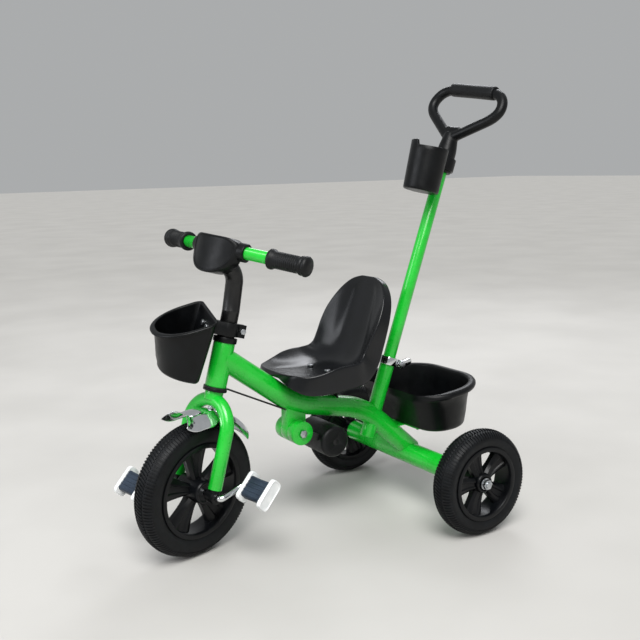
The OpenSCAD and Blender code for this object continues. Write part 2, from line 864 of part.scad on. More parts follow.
function row_share(list, u) =
    let (i = min(floor(u), len(list) - 2), f = u - i,
        a = list[max(i - 1, 0)], b = list[i], c = list[i + 1], d = list[min(i + 2, len(list) - 1)])
    b + f * ((c - a) + f * ((a * 2 - b * 5 + c * 4 - d) + f * (b * 3 - a - c * 3 + d))) / 2;
function seat_mid(u) = [seat_x + seat_len * row_share(seat_fore_shares, u), 0,
    seat_z + seat_back_h * max(row_share(seat_rise_shares, u), 0)];
function seat_way(u) =
    unit(seat_mid(min(u + seat_way_share, seat_rows - 1)) - seat_mid(max(u - seat_way_share, 0)));
function seat_up(u) = let (t = seat_way(u)) [t.z, 0, -t.x];
function seat_point(u, v) = seat_mid(u) + seat_up(u) * seat_w * row_share(seat_edge_shares, u)
    * pow(abs(v), edge_power) + [0, v * seat_w * row_share(seat_half_shares, u), 0];
seat_last = (seat_rows - 1) * seat_row_step;
function seat_u(i) = i / seat_row_step;
function seat_v(j) = j / seat_cols * 2 - 1;
// The underside keeps clear of the rim, so that the skirt has a wall
function seat_in_u(i) = let (u = seat_u(i) / (seat_rows - 1))
    seat_inset_share + u * (seat_rows - 1 - seat_inset_share * 2);
function seat_in_v(i, j) = seat_v(j)
    * (1 - seat_t * seat_wall_share / (seat_w * row_share(seat_half_shares, seat_in_u(i))));
// The rim runs round the shell: along the front, up one side, along the top and down the other
seat_rim = concat([for (j = [0 : seat_cols - 1]) [0, j]], [for (i = [0 : seat_last - 1]) [i, seat_cols]],
    [for (j = [seat_cols : -1 : 1]) [seat_last, j]], [for (i = [seat_last : -1 : 1]) [i, 0]]);
function rim_at(k) = let (c = seat_rim[k % len(seat_rim)]) seat_point(seat_u(c[0]), seat_v(c[1]));
function rim_up(k) = seat_up(seat_u(seat_rim[k][0]));
function rim_out(k) = unit(cross(rim_at(k + 1) - rim_at(k + len(seat_rim) - 1), rim_up(k)));
function rim_point(k, out, drop) = rim_at(k) + rim_out(k) * out - rim_up(k) * drop;
function seat_drop(u) = seat_w * row_share(seat_skirt_shares, u);

module seat_holes(r) both_sides() translate([seat_x, seat_screw_gap / 2, seat_z - seat_back_h / 2])
    cylinder(h = seat_back_h, r = r);

module seat_shell() {
    n = seat_cols + 1;
    k = (seat_last + 1) * n;
    p = len(seat_rim);
    roll = seat_w * skirt_roll_share;
    top = [for (i = [0 : seat_last], j = [0 : seat_cols]) seat_point(seat_u(i), seat_v(j))];
    below = [for (i = [0 : seat_last], j = [0 : seat_cols]) let (u = seat_in_u(i))
        seat_point(u, seat_in_v(i, j)) - seat_up(u) * seat_t];
    half_roll = [for (i = [0 : p - 1]) rim_point(i, roll * skirt_bulge_share, roll / 2)];
    full_roll = [for (i = [0 : p - 1]) rim_point(i, roll, roll * 2)];
    foot = [for (i = [0 : p - 1]) rim_point(i, roll, seat_drop(seat_u(seat_rim[i][0])))];
    inner_foot = [for (c = seat_rim) let (u = seat_in_u(c[0]))
        seat_point(u, seat_in_v(c[0], c[1])) - seat_up(u) * (seat_drop(seat_u(c[0])) - roll)];
    edge = [for (c = seat_rim) c[0] * n + c[1]];
    loops = [edge, [for (i = [0 : p - 1]) k + i], [for (i = [0 : p - 1]) k + p + i],
        [for (i = [0 : p - 1]) k + p * 2 + i], [for (i = [0 : p - 1]) k + p * 3 + i],
        [for (a = edge) k + p * 4 + a]];
    panels = [for (i = [0 : seat_last - 1], j = [0 : seat_cols - 1])
        let (a = i * n + j, b = k + p * 4 + a) each [
        [a, a + n + 1, a + 1], [a, a + n, a + n + 1], [b, b + 1, b + n + 1], [b, b + n + 1, b + n]]];
    skirt = [for (l = [0 : len(loops) - 2], i = [0 : p - 1]) let (h = (i + 1) % p) each [
        [loops[l][i], loops[l][h], loops[l + 1][h]], [loops[l][i], loops[l + 1][h], loops[l + 1][i]]]];
    polyhedron(points = concat(top, half_roll, full_roll, foot, inner_foot, below),
        faces = concat(panels, skirt), convexity = 8);
}

module seat() color(dark)
    difference() {
        seat_shell();
        seat_holes(screw_r);
        both_sides() translate([seat_x, seat_screw_gap / 2, seat_z]) cylinder(h = over, r = screw_head_r);
    }

module seat_screws() color(bright)
    both_sides() translate([seat_x, seat_screw_gap / 2, seat_z]) {
        translate([0, 0, -screw_tail - seat_t])
            cylinder(h = screw_tail + seat_t + screw_head_t, r = screw_r);
        cylinder(h = screw_head_t, r = screw_head_r);
    }

// Baskets: round-cornered rings, with one corner radius at the back and one at the front
function tub_arc(c, r, from) = [for (i = [0 : tub_arc_steps])
    let (a = from + 90 * i / tub_arc_steps) c + r * [cos(a), sin(a)]];
function tub_ring(back, front, half_w, back_r, front_r) = concat(
    tub_arc([front - front_r, half_w - front_r], front_r, 0),
    tub_arc([back + back_r, half_w - back_r], back_r, 90),
    tub_arc([back + back_r, back_r - half_w], back_r, 180),
    tub_arc([front - front_r, front_r - half_w], front_r, 270));
function blend(a, share, low) = a * (low > 0 ? share : 1);
function inner_r(r, inset) = max(r - inset, tub_least_r);

function fb_ring(inset, low, drop) =
    let (depth = blend(fb_depth, fb_floor_depth_share, low), w = blend(fb_w, fb_floor_w_share, low))
    [for (p = tub_ring(fb_back + max(inset, 0), fb_back + depth - inset, w / 2 - inset,
            inner_r(blend(fb_back_r, fb_floor_w_share, low), inset),
            inner_r(blend(fb_front_r, fb_floor_w_share, low), inset)))
        [p.x, p.y, low > 0 ? fb_floor_up + drop
            : fb_back_up + (fb_front_up - fb_back_up) * (p.x - fb_back) / fb_depth - drop]];

module basketed() steered() rotate([0, 0, fb_turn]) children();
module rolled() {
    turn_up = clamp_up + clamp_h / 2;
    translate([0, 0, turn_up]) rotate([fb_roll, 0, 0]) translate([0, 0, -turn_up]) children();
}

module front_basket() color(dark)
    difference() {
        basketed() rolled() skin([fb_ring(fb_corner / 2, 1, 0), fb_ring(fb_corner / 6, 1, fb_corner / 6),
            fb_ring(0, 1, fb_corner / 2), fb_ring(0, 0, tub_lip_h), fb_ring(-tub_lip, 0, tub_lip_h),
            fb_ring(-tub_lip, 0, 0), fb_ring(tub_wall, 0, 0), fb_ring(tub_wall, 1, fb_corner / 2 + tub_wall),
            fb_ring(tub_wall + fb_corner / 6, 1, fb_corner / 6 + tub_wall),
            fb_ring(tub_wall + fb_corner / 2, 1, tub_wall)]);
        basketed() rolled() clamp_holes();
    }

module clamp_holes() both_sides()
    translate([fb_back - clamp_screw_len, clamp_screw_y, clamp_up + clamp_h / 2])
        rotate([0, 90, 0]) cylinder(h = clamp_screw_len * 2, r = clamp_screw_r);

module basket_clamp() color(dark) basketed()
    difference() {
        translate([0, 0, clamp_up]) {
            cylinder(h = clamp_h, r = stem_d / 2 + clamp_ring_wall);
            translate([0, -clamp_w / 2, 0]) cube([fb_back, clamp_w, clamp_h]);
            translate([-clamp_lug, -clamp_lug_w / 2, 0]) cube([clamp_lug, clamp_lug_w, clamp_h]);
        }
        translate([0, 0, clamp_up - over]) {
            cylinder(h = clamp_h + over * 2, r = stem_d / 2 + slide_gap);
            translate([-clamp_lug - over, -clamp_slit / 2, 0])
                cube([clamp_lug + over, clamp_slit, clamp_h + over * 2]);
        }
        pinch() cylinder(h = clamp_w, r = clamp_screw_r, center = true);
        rolled() clamp_holes();
    }
module pinch() translate([-clamp_pinch_x, 0, clamp_up + clamp_h / 2]) rotate([90, 0, 0]) children();

module clamp_screws() color(bright) basketed() {
    rolled() both_sides() translate([fb_back + tub_wall, clamp_screw_y, clamp_up + clamp_h / 2])
        rotate([0, 90, 0]) {
            translate([0, 0, -clamp_screw_len - tub_wall])
                cylinder(h = clamp_screw_len + tub_wall + clamp_head_t, r = clamp_screw_r);
            cylinder(h = clamp_head_t, r = clamp_head_r);
        }
    pinch() {
        cylinder(h = clamp_lug_w, r = clamp_screw_r, center = true);
        for (side = [0, 1]) mirror([0, 0, side])
            translate([0, 0, clamp_lug_w / 2]) hex(clamp_head_t, clamp_head_r);
    }
}

function rb_ring(inset, low, drop) =
    let (length = blend(rb_len, rb_floor_len_share, low), w = blend(rb_w, rb_floor_w_share, low),
        front = low > 0 ? rb_floor_front : rb_front)
    [for (p = tub_ring(front - length + inset, front - max(inset, 0), w / 2 - inset,
            inner_r(blend(rb_rear_r, rb_floor_w_share, low), inset),
            inner_r(blend(rb_front_r, rb_floor_w_share, low), inset)))
        [p.x, p.y, low > 0 ? rb_floor_z + drop
            : rb_front_z + (rb_rear_z - rb_front_z) * (rb_front - p.x) / rb_len - drop]];

module tub_holes(r) both_sides() translate([tub_screw_x, tub_screw_y, rb_floor_z - rb_floor_z / 2])
    cylinder(h = rb_floor_z, r = r);

module rear_tub() color(dark)
    difference() {
        skin([rb_ring(rb_corner / 2, 1, 0), rb_ring(rb_corner / 6, 1, rb_corner / 6),
            rb_ring(0, 1, rb_corner / 2), rb_ring(0, 0, rb_lip_h), rb_ring(-rb_lip, 0, rb_lip_h),
            rb_ring(-rb_lip, 0, 0), rb_ring(tub_wall, 0, 0), rb_ring(tub_wall, 1, rb_corner / 2 + tub_wall),
            rb_ring(tub_wall + rb_corner / 6, 1, rb_corner / 6 + tub_wall),
            rb_ring(tub_wall + rb_corner / 2, 1, tub_wall)]);
        tub_holes(screw_r);
    }

module tub_screws() color(bright)
    both_sides() translate([tub_screw_x, tub_screw_y, rb_floor_z + tub_wall]) {
        translate([0, 0, -screw_tail - tub_wall])
            cylinder(h = screw_tail + tub_wall + screw_head_t, r = screw_r);
        cylinder(h = screw_head_t, r = screw_head_r);
    }

// Front end

module fork_arch(r, wall) translate([0, 0, crown_up]) rotate([0, -90, 0]) rotate([0, 0, -90])
    rotate_extrude(angle = 180) translate([fork_gauge / 2, 0]) section(r, wall);

module fork() color(paint_green) steered()
    difference() {
        union() {
            both_sides() translate([0, fork_gauge / 2, leg_foot_up]) linear_extrude(crown_up - leg_foot_up)
                section(fork_d / 2, tube_wall);
            fork_arch(fork_d / 2, tube_wall);
            translate([0, 0, crown_mid_up]) cylinder(h = race_top - crown_mid_up, r = race_r);
            translate([0, 0, crown_mid_up]) cylinder(h = steerer_top - crown_mid_up, r = steerer_d / 2);
        }
        translate([0, 0, crown_mid_up - fork_d]) cylinder(h = fork_d, r = guard_bolt_r);
    }

module fork_bearings() color(dark) steered()
    both_sides() translate([0, fork_gauge / 2, 0])
        difference() {
            union() {
                along_y() cylinder(h = bearing_w, r = bearing_r, center = true);
                cylinder(h = leg_foot_up, r = fork_d / 2 - tube_wall);
                cylinder(h = plug_len, r = fork_d / 2 - tube_wall);
            }
            along_y() cylinder(h = bearing_w * 2, r = crank_r + run_gap, center = true);
        }

module guard_profile() {
    intersection() {
        translate([guard_r - guard_crown_r, 0]) section(guard_crown_r, guard_t);
        translate([guard_r - guard_crown_r, -guard_w / 2]) square([guard_crown_r + over, guard_w]);
    }
}

module mudguard() color(bright) steered()
    difference() {
        spin_y() rotate([0, 0, guard_front]) {
            rotate_extrude(angle = guard_rear - guard_front, $fn = 128) guard_profile();
            translate([guard_r + guard_flare_r, 0, 0]) rotate([0, 0, 180])
                rotate_extrude(angle = guard_flare_turn)
                    translate([guard_r + guard_flare_r, 0]) mirror([1, 0]) guard_profile();
        }
        cylinder(h = guard_r * 2, r = guard_bolt_r);
        fork_arch(fork_d / 2 + guard_gap, 0);
    }

module mudguard_bolt() color(bright) steered() {
    cylinder_from = guard_r - guard_t - guard_nut_t;
    translate([0, 0, cylinder_from]) cylinder(h = crown_mid_up - cylinder_from - tube_wall, r = guard_bolt_r);
    translate([0, 0, cylinder_from]) hex(guard_nut_t - seat_gap, guard_nut_r);
    translate([0, 0, guard_r + seat_gap / 2])
        cylinder(h = max(crown_mid_up - fork_d / 2 - guard_r - seat_gap - guard_spacer_ease, seat_gap),
            r = guard_nut_r);
}

module stem_solid() bent_pipe(stem_path, stem_d / 2, 0, stem_bend_r);

module bar_solid() at_bar() bent_pipe(bar_path, bar_d / 2, 0, bar_bend_r);

module stem() color(dark)
    difference() {
        steered() bent_pipe(stem_path, stem_d / 2, stem_wall, stem_bend_r);
        bar_solid();
    }

module at_bar() steered() translate([bar_fore, 0, bar_up]) rotate([bar_tip, 0, 0]) children();

module handlebar() color(paint_green) at_bar() bent_pipe(bar_path, bar_d / 2, bar_wall, bar_bend_r);

function bow(s) = sign(s) * pow(abs(s), shield_power);
function shield(i) =
    let (t = 180 * i / shield_steps)
    [cover_w / 2 * bow(cos(t)), -(cover_h - cover_top) * bow(sin(t))];

module shield_outline() {
    corner = cover_w * cover_corner_share;
    polygon(concat([for (i = [0 : shield_steps]) shield(i)],
        [[-cover_w / 2, cover_top - corner], [-cover_w / 2 + corner, cover_top],
            [cover_w / 2 - corner, cover_top], [cover_w / 2, cover_top - corner]]));
}

module handlebar_cover() color(dark)
    difference() {
        at_bar() {
            intersection() {
                translate([-cover_back, 0, 0]) rotate([90, 0, 90])
                    linear_extrude(cover_depth) shield_outline();
                translate([cover_depth - cover_back - cover_crown_r, 0, -cover_h])
                    cylinder(h = cover_h * 2, r = cover_crown_r, $fn = 96);
            }
            both_sides() rotate([0, 0, bar_sweep]) along_y()
                cylinder(h = cover_w / 2 + cover_collar_w, r = cover_collar_d / 2);
        }
        bar_solid();
        steered() stem_solid();
    }

module grip() rotate([0, 0, bar_sweep]) translate([0, bar_len / 2 + grip_end_t - grip_len, 0])
    spin_y() mirror([0, 0, 1])
    rotate_extrude()
        difference() {
            union() {
                square([grip_d / 2, grip_len]);
                square([grip_flange_d / 2, grip_flange_t]);
                translate([0, grip_len - grip_flange_t]) square([grip_flange_d / 2, grip_flange_t]);
                for (i = [0 : grip_rib_count - 1])
                    translate([grip_d / 2, grip_flange_t * 2 + (i + 1 / 2) * grip_rib_step])
                        circle(grip_rib_r, $fn = 16);
            }
            translate([0, -over]) square([bar_d / 2, grip_len - grip_end_t + over]);
        }

module left_grip() color(rubber_black) at_bar() grip();
module right_grip() color(rubber_black) at_bar() mirror([0, 1, 0]) grip();

// Cranks and pedals

module crank() color(bright) steered() {
    a = crank_dir * crank_len;
    in_y = [0, crank_bend_y, 0];
    out_y = [0, crank_bend_y + crank_splay, 0];
    end_y = [0, spindle_end, 0];
    bent_pipe([a + end_y, a + out_y, in_y, -in_y, -a - out_y, -a - end_y], crank_r, 0, crank_corner_r);
}

module at_left_pedal() steered() translate(crank_dir * crank_len) translate([0, pedal_mid, 0])
    rotate([0, -pedal_rest, 0]) children();
module at_right_pedal() steered() translate(crank_dir * -crank_len) translate([0, -pedal_mid, 0])
    rotate([0, -pedal_rest, 0]) children();

module pedal_block() {
    core = pedal_len - pedal_cap_t * 2;
    difference() {
        spin_y() translate([0, 0, -core / 2]) linear_extrude(core)
            round_rect(pedal_t * pedal_waist_share, pedal_h * pedal_core_share, pedal_t * pedal_corner_share);
        along_y() cylinder(h = pedal_len * 2, r = crank_r + run_gap, center = true);
    }
}

module pedal_caps() {
    difference() {
        both_sides() translate([0, pedal_len / 2, 0]) spin_y() linear_extrude(pedal_cap_t)
            round_rect(pedal_t, pedal_h, pedal_t * pedal_corner_share);
        along_y() cylinder(h = pedal_len * 2, r = crank_r + run_gap, center = true);
    }
}

module left_pedal() color(slate) at_left_pedal() pedal_block();
module left_pedal_caps() color(cap_white) at_left_pedal() pedal_caps();
module right_pedal() color(slate) at_right_pedal() pedal_block();
module right_pedal_caps() color(cap_white) at_right_pedal() pedal_caps();

// Push bar

module clamp_collar() color(bright) pole_axis() translate([0, 0, collar_up])
    difference() {
        union() {
            cylinder(h = collar_h, r = socket_r + collar_t);
            translate([-lug_back, -lug_half_w, 0]) cube([lug_back, lug_half_w * 2, collar_h]);
        }
        translate([0, 0, -over]) cylinder(h = collar_h + over * 2, r = socket_r);
        translate([-lug_back - over, -collar_slit / 2, -over])
            cube([lug_back + over, collar_slit, collar_h + over * 2]);
        translate([-lug_bolt_back, 0, collar_h / 2]) along_y()
            cylinder(h = lug_back * 2, r = lug_bolt_r, center = true);
    }

module at_clamp_bolt() pole_axis() translate([-lug_bolt_back, 0, collar_up + collar_h / 2]) children();

module clamp_bolt() color(bright) at_clamp_bolt() along_y() {
    lever_room = lever_t + lever_gap * 2;
    translate([0, 0, -lug_half_w]) cylinder(h = lug_half_w * 2 + lever_room, r = lug_bolt_r);
    translate([0, 0, -lug_half_w - bolt_head_t]) hex(bolt_head_t, bolt_head_r);
    translate([0, 0, lug_half_w + lever_room]) cylinder(h = bolt_head_t / 2, r = bolt_head_r);
}

module clamp_lever() color(bright) at_clamp_bolt() rotate([0, -lever_rest, 0])
    translate([0, lug_half_w + lever_gap, 0]) along_y()
        difference() {
            union() {
                cylinder(h = lever_t, r = lever_boss_r);
                translate([0, -lever_w / 2, 0]) cube([lever_len, lever_w, lever_t]);
                translate([lever_len, 0, 0]) cylinder(h = lever_t, r = lever_w / 2);
            }
            translate([0, 0, -over]) cylinder(h = lever_t + over * 2, r = lug_bolt_r + run_gap);
        }

module push_pole() color(paint_green)
    difference() {
        pole_axis() translate([0, 0, pole_foot])
            sleeve(neck_up + neck_bore_len - pole_foot, pole_r, pole_r - pole_wall);
        neck_hole();
    }

module push_handle() color(dark)
    difference() {
        union() {
            pole_axis() translate([0, 0, neck_up]) cylinder(h = neck_straight, r = neck_d / 2);
            pole_axis() translate([0, 0, neck_up + neck_straight])
                cylinder(h = neck_len - neck_straight, r1 = neck_d / 2, r2 = neck_top_r);
            ring_axis() sphere(neck_ball_r);
            ring_axis() bent_pipe(ring_path, ring_d / 2, 0, ring_corner_r);
        }
        pole_axis() translate([0, 0, neck_up - over]) cylinder(h = neck_bore_len + over, r = pole_r);
        neck_hole();
    }

module neck_hole() pole_axis() translate([0, 0, neck_screw_up]) rotate([0, 0, 90]) along_y()
    cylinder(h = neck_d, r = neck_screw_r);

module handle_sleeve() color(rubber_black) ring_axis() translate([0, 0, ring_h]) along_y()
    translate([0, 0, -sleeve_len / 2]) sleeve(sleeve_len, sleeve_d / 2, ring_d / 2);

module cup_holder() color(dark)
    difference() {
        union() {
            at_cup() cylinder(h = cup_depth + cup_foot_t, r1 = cup_bore_d / 2 + cup_wall, r2 = cup_rim_r);
            at_cup() rotate([0, 0, cup_lip_at - cup_lip_turn / 2]) rotate_extrude(angle = cup_lip_turn)
                translate([0, cup_depth - cup_lip_h])
                    square([cup_rim_r - cup_lip_step, cup_foot_t + cup_lip_h * 2]);
            pole_axis() translate([0, 0, cup_clip_up]) cylinder(h = cup_clip_h, r = neck_d / 2 + cup_clip_t);
        }
        at_cup() translate([0, 0, cup_foot_t]) cylinder(h = cup_depth + over, r = cup_bore_d / 2);
        at_cup() translate([0, 0, cup_foot_t + cup_depth])
            cylinder(h = cup_lip_h + over, r = cup_bore_d / 2 + cup_lip_ease);
        pole_axis() translate([0, 0, neck_up]) cylinder(h = neck_len, r = neck_d / 2);
    }

module at_cup() pole_axis() rotate([0, 0, cup_turn]) translate([cup_fore, 0, cup_up])
    rotate([0, cup_tilt, 0]) children();

module neck_screw() color(bright)
    pole_axis() translate([0, 0, neck_screw_up]) rotate([0, 0, 90]) along_y() {
        cylinder(h = neck_d / 2, r = neck_screw_r);
        translate([0, 0, neck_d / 2]) cylinder(h = neck_screw_head_t, r = neck_screw_head_r);
    }

placed() head_tube();
placed() main_tube();
placed() cross_tube();
placed() axle_bushings();
placed() push_bar_socket();
placed() seat_bracket();
placed() tub_bracket();
placed() footrest_bracket();
placed() footrest_pin();
placed() headset_lower();
placed() headset_upper();
placed() stop_plate();
placed() seat();
placed() seat_screws();
placed() rear_tub();
placed() tub_screws();
placed() rear_axle();
placed() rear_axle_nuts();
placed() clamp_collar();
placed() clamp_bolt();
placed() fork();
placed() fork_bearings();
placed() mudguard();
placed() mudguard_bolt();
placed() stem();
placed() handlebar();
placed() handlebar_cover();
placed() left_grip();
placed() right_grip();
placed() front_basket();
placed() basket_clamp();
placed() clamp_screws();
placed() front_rim();
placed() front_tyre();
placed() crank();
placed() left_pedal();
placed() left_pedal_caps();
placed() right_pedal();
placed() right_pedal_caps();
placed() rear_left_rim();
placed() rear_left_tyre();
placed() rear_right_rim();
placed() rear_right_tyre();
placed() push_pole();
placed() push_handle();
placed() handle_sleeve();
placed() cup_holder();
placed() neck_screw();
placed() clamp_lever();
placed() footrest_barrel();
placed() footrest_arm();
placed() foot_roller();
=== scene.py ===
import json
import math

import bmesh
import bpy
from mathutils import Matrix, Vector

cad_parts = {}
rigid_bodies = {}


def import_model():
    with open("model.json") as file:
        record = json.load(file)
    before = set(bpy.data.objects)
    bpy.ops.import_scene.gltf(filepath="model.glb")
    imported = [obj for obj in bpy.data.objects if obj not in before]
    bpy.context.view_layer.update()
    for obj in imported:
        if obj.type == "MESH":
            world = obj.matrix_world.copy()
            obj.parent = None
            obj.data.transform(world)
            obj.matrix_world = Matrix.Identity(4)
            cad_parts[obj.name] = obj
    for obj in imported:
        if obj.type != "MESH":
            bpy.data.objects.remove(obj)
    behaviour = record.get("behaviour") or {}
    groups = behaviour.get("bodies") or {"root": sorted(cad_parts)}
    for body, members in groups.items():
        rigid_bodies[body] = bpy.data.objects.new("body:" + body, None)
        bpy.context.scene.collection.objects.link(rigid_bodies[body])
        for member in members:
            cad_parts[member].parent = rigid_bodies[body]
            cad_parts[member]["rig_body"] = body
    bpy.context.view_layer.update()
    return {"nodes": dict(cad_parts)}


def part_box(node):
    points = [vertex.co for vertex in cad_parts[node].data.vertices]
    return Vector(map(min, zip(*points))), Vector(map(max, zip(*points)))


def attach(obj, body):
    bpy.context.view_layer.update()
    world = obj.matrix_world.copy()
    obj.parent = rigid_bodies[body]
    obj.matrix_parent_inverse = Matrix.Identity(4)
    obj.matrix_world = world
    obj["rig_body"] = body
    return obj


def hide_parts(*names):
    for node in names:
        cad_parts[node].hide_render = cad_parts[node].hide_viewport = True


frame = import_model()
MM = 0.001

# Sizes of the trike, in millimetres and degrees, as its solids have them
WHEELBASE = 486.6
FRONT_R = 127
REAR_R = 102.3
TRACK = 446.8
TYRE_W = 49
FRONT_RIM = 86
REAR_RIM = 68
RAKE = 15.3
STEER_REST = 15.5
BAR_UP = 437
BAR_FORE = 64
BAR_TIP = -1.5
BAR_SWEEP = 14
BAR_LEN = 374
GRIP_LEN = 80
CRANK_LEN = 52
CRANK_REST = 148
PEDAL_REST = 30
PEDAL_IN = 84
PEDAL_LEN = 62
POLE_X = 81.8
POLE_Z = 208
POLE_LEAN = 20.2
HANDLE_TURN = 8
NECK_UP = 505
NECK_LEN = 80
RING_BEND = 11
RING_ROLL = 6
RING_HALF_W = 102
RING_H = 104
BASKET_TURN = -24
BASKET_ROLL = -13.5
CLAMP_MID = 297
CUP_TURN = 11
CUP_FORE = 54
CUP_UP = 448
CUP_TILT = 6
HEAD_R = 19.6


# Placing

def turn(angle, axis):
    return Matrix.Rotation(math.radians(angle), 4, axis)


def move(x=0.0, y=0.0, z=0.0):
    return Matrix.Translation((x, y, z))


axle_low, axle_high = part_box("rear_axle")
axle_x = (axle_low.x + axle_high.x) / 2 / MM
TRIKE = move(axle_x)
ALONG_Y = turn(-90, "X")
STEERED = TRIKE @ move(WHEELBASE, 0, FRONT_R) @ turn(-RAKE, "Y") @ turn(STEER_REST, "Z")
BAR = STEERED @ move(BAR_FORE, 0, BAR_UP) @ turn(BAR_TIP, "X")
POLE = TRIKE @ move(POLE_X, 0, POLE_Z) @ turn(-POLE_LEAN, "Y") @ turn(HANDLE_TURN, "Z")
RING = POLE @ move(0, 0, NECK_UP + NECK_LEN) @ turn(-RING_BEND, "Y") @ turn(-RING_ROLL, "X")
CUP = POLE @ turn(CUP_TURN, "Z") @ move(CUP_FORE, 0, CUP_UP) @ turn(CUP_TILT, "Y")
CLAMP = STEERED @ turn(BASKET_TURN, "Z")
BASKET = CLAMP @ move(0, 0, CLAMP_MID) @ turn(BASKET_ROLL, "X") @ move(0, 0, -CLAMP_MID)


# Node trees

def add(tree, kind, inputs=None, **settings):
    """A node with its settings, its input values and the links into it."""
    made = tree.nodes.new(kind)
    for key, value in settings.items():
        setattr(made, key, value)
    for key, value in (inputs or {}).items():
        if isinstance(value, bpy.types.NodeSocket):
            tree.links.new(value, made.inputs[key])
        else:
            made.inputs[key].default_value = value
    return made


def tint(code):
    """An sRGB hex colour as linear light."""
    parts = [int(code[i:i + 2], 16) / 255 for i in (1, 3, 5)]
    return [c / 12.92 if c <= 0.04045 else ((c + 0.055) / 1.055) ** 2.4 for c in parts] + [1.0]


def per(size):
    """A pattern's scale, from its size in millimetres."""
    return 1 / (size * MM)


def new_finish(name):
    made = bpy.data.materials.new(name)
    made.use_nodes = True
    tree = made.node_tree
    tree.nodes.clear()
    shader = add(tree, "ShaderNodeBsdfPrincipled")
    add(tree, "ShaderNodeOutputMaterial", {"Surface": shader.outputs["BSDF"]})
    return made, tree, shader


def speckled(tree, shader, place, low, high, size):
    """The base colour drifts between two tones, over patches of a given size."""
    patches = add(tree, "ShaderNodeTexNoise", {"Vector": place, "Scale": per(size), "Detail": 3.0})
    ramp = add(tree, "ShaderNodeValToRGB", {"Fac": patches.outputs["Fac"]})
    for stop, position, code in zip(ramp.color_ramp.elements, (0.35, 0.65), (low, high)):
        stop.position = position
        stop.color = tint(code)
    tree.links.new(ramp.outputs["Color"], shader.inputs["Base Color"])


def ranged(tree, place, size, low, high):
    """A value that wanders between two limits, over patches of a given size."""
    patches = add(tree, "ShaderNodeTexNoise", {"Vector": place, "Scale": per(size), "Detail": 3.0})
    span = add(tree, "ShaderNodeMapRange", {"Value": patches.outputs["Fac"], "From Min": 0.3,
                                            "From Max": 0.7, "To Min": low, "To Max": high})
    return span.outputs["Result"]


def stove_enamel_green():
    # Stove-baked gloss enamel on steel tube: deep even green, a faint orange peel, sharp highlights
    made, tree, shader = new_finish("stove_enamel_green")
    place = add(tree, "ShaderNodeTexCoord").outputs["Object"]
    speckled(tree, shader, place, "#0EB628", "#14C432", 45)
    tree.links.new(ranged(tree, place, 8, 0.24, 0.36), shader.inputs["Roughness"])
    shader.inputs["IOR"].default_value = 1.5
    shader.inputs["Coat Weight"].default_value = 0.55
    shader.inputs["Coat Roughness"].default_value = 0.09
    peel = add(tree, "ShaderNodeTexNoise", {"Vector": place, "Scale": per(1.6), "Detail": 2.0})
    bump = add(tree, "ShaderNodeBump", {"Height": peel.outputs["Fac"], "Strength": 0.06,
                                        "Distance": 0.0002})
    tree.links.new(bump.outputs["Normal"], shader.inputs["Normal"])
    return made


def black_enamel():
    # Satin black enamel on small pressed and bent steel: near black, a soft wide highlight
    made, tree, shader = new_finish("black_enamel")
    place = add(tree, "ShaderNodeTexCoord").outputs["Object"]
    speckled(tree, shader, place, "#050506", "#0A0B0C", 20)
    tree.links.new(ranged(tree, place, 5, 0.3, 0.46), shader.inputs["Roughness"])
    peel = add(tree, "ShaderNodeTexNoise", {"Vector": place, "Scale": per(1.2), "Detail": 2.0})
    bump = add(tree, "ShaderNodeBump", {"Height": peel.outputs["Fac"], "Strength": 0.08,
                                        "Distance": 0.0002})
    tree.links.new(bump.outputs["Normal"], shader.inputs["Normal"])
    return made


def moulded_polypropylene(name, low, high, rough, grain, grain_strength, drift=0.06, shine=0.25):
    # Injection-moulded polypropylene: slightly blue black, a fine spark-eroded grain from the mould,
    # flow marks that change the gloss in wide soft bands
    made, tree, shader = new_finish(name)
    place = add(tree, "ShaderNodeTexCoord").outputs["Object"]
    speckled(tree, shader, place, low, high, 30)
    tree.links.new(ranged(tree, place, 14, rough - drift, rough + drift), shader.inputs["Roughness"])
    shader.inputs["IOR"].default_value = 1.49
    shader.inputs["Specular IOR Level"].default_value = shine
    grit = add(tree, "ShaderNodeTexVoronoi", {"Vector": place, "Scale": per(grain)})
    bump = add(tree, "ShaderNodeBump", {"Height": grit.outputs["Distance"], "Strength": grain_strength,
                                        "Distance": 0.0002})
    tree.links.new(bump.outputs["Normal"], shader.inputs["Normal"])
    return made


def foamed_eva():
    # Foamed EVA tyre: dull black skin with fine closed pores, greyer where it has rubbed
    made, tree, shader = new_finish("foamed_eva")
    place = add(tree, "ShaderNodeTexCoord").outputs["Object"]
    speckled(tree, shader, place, "#050608", "#0C0F12", 12)
    tree.links.new(ranged(tree, place, 6, 0.42, 0.6), shader.inputs["Roughness"])
    shader.inputs["Specular IOR Level"].default_value = 0.24
    pores = add(tree, "ShaderNodeTexVoronoi", {"Vector": place, "Scale": per(0.9)})
    bump = add(tree, "ShaderNodeBump", {"Height": pores.outputs["Distance"], "Strength": 0.12,
                                        "Distance": 0.0003})
    tree.links.new(bump.outputs["Normal"], shader.inputs["Normal"])
    return made


def soft_pvc():
    # Soft PVC of the grips and the handle sleeve: deep black with a low silky gloss
    made, tree, shader = new_finish("soft_pvc")
    place = add(tree, "ShaderNodeTexCoord").outputs["Object"]
    speckled(tree, shader, place, "#050607", "#0C0E10", 16)
    tree.links.new(ranged(tree, place, 5, 0.4, 0.55), shader.inputs["Roughness"])
    shader.inputs["Specular IOR Level"].default_value = 0.3
    grit = add(tree, "ShaderNodeTexNoise", {"Vector": place, "Scale": per(0.8), "Detail": 3.0})
    bump = add(tree, "ShaderNodeBump", {"Height": grit.outputs["Fac"], "Strength": 0.15,
                                        "Distance": 0.0003})
    tree.links.new(bump.outputs["Normal"], shader.inputs["Normal"])
    return made


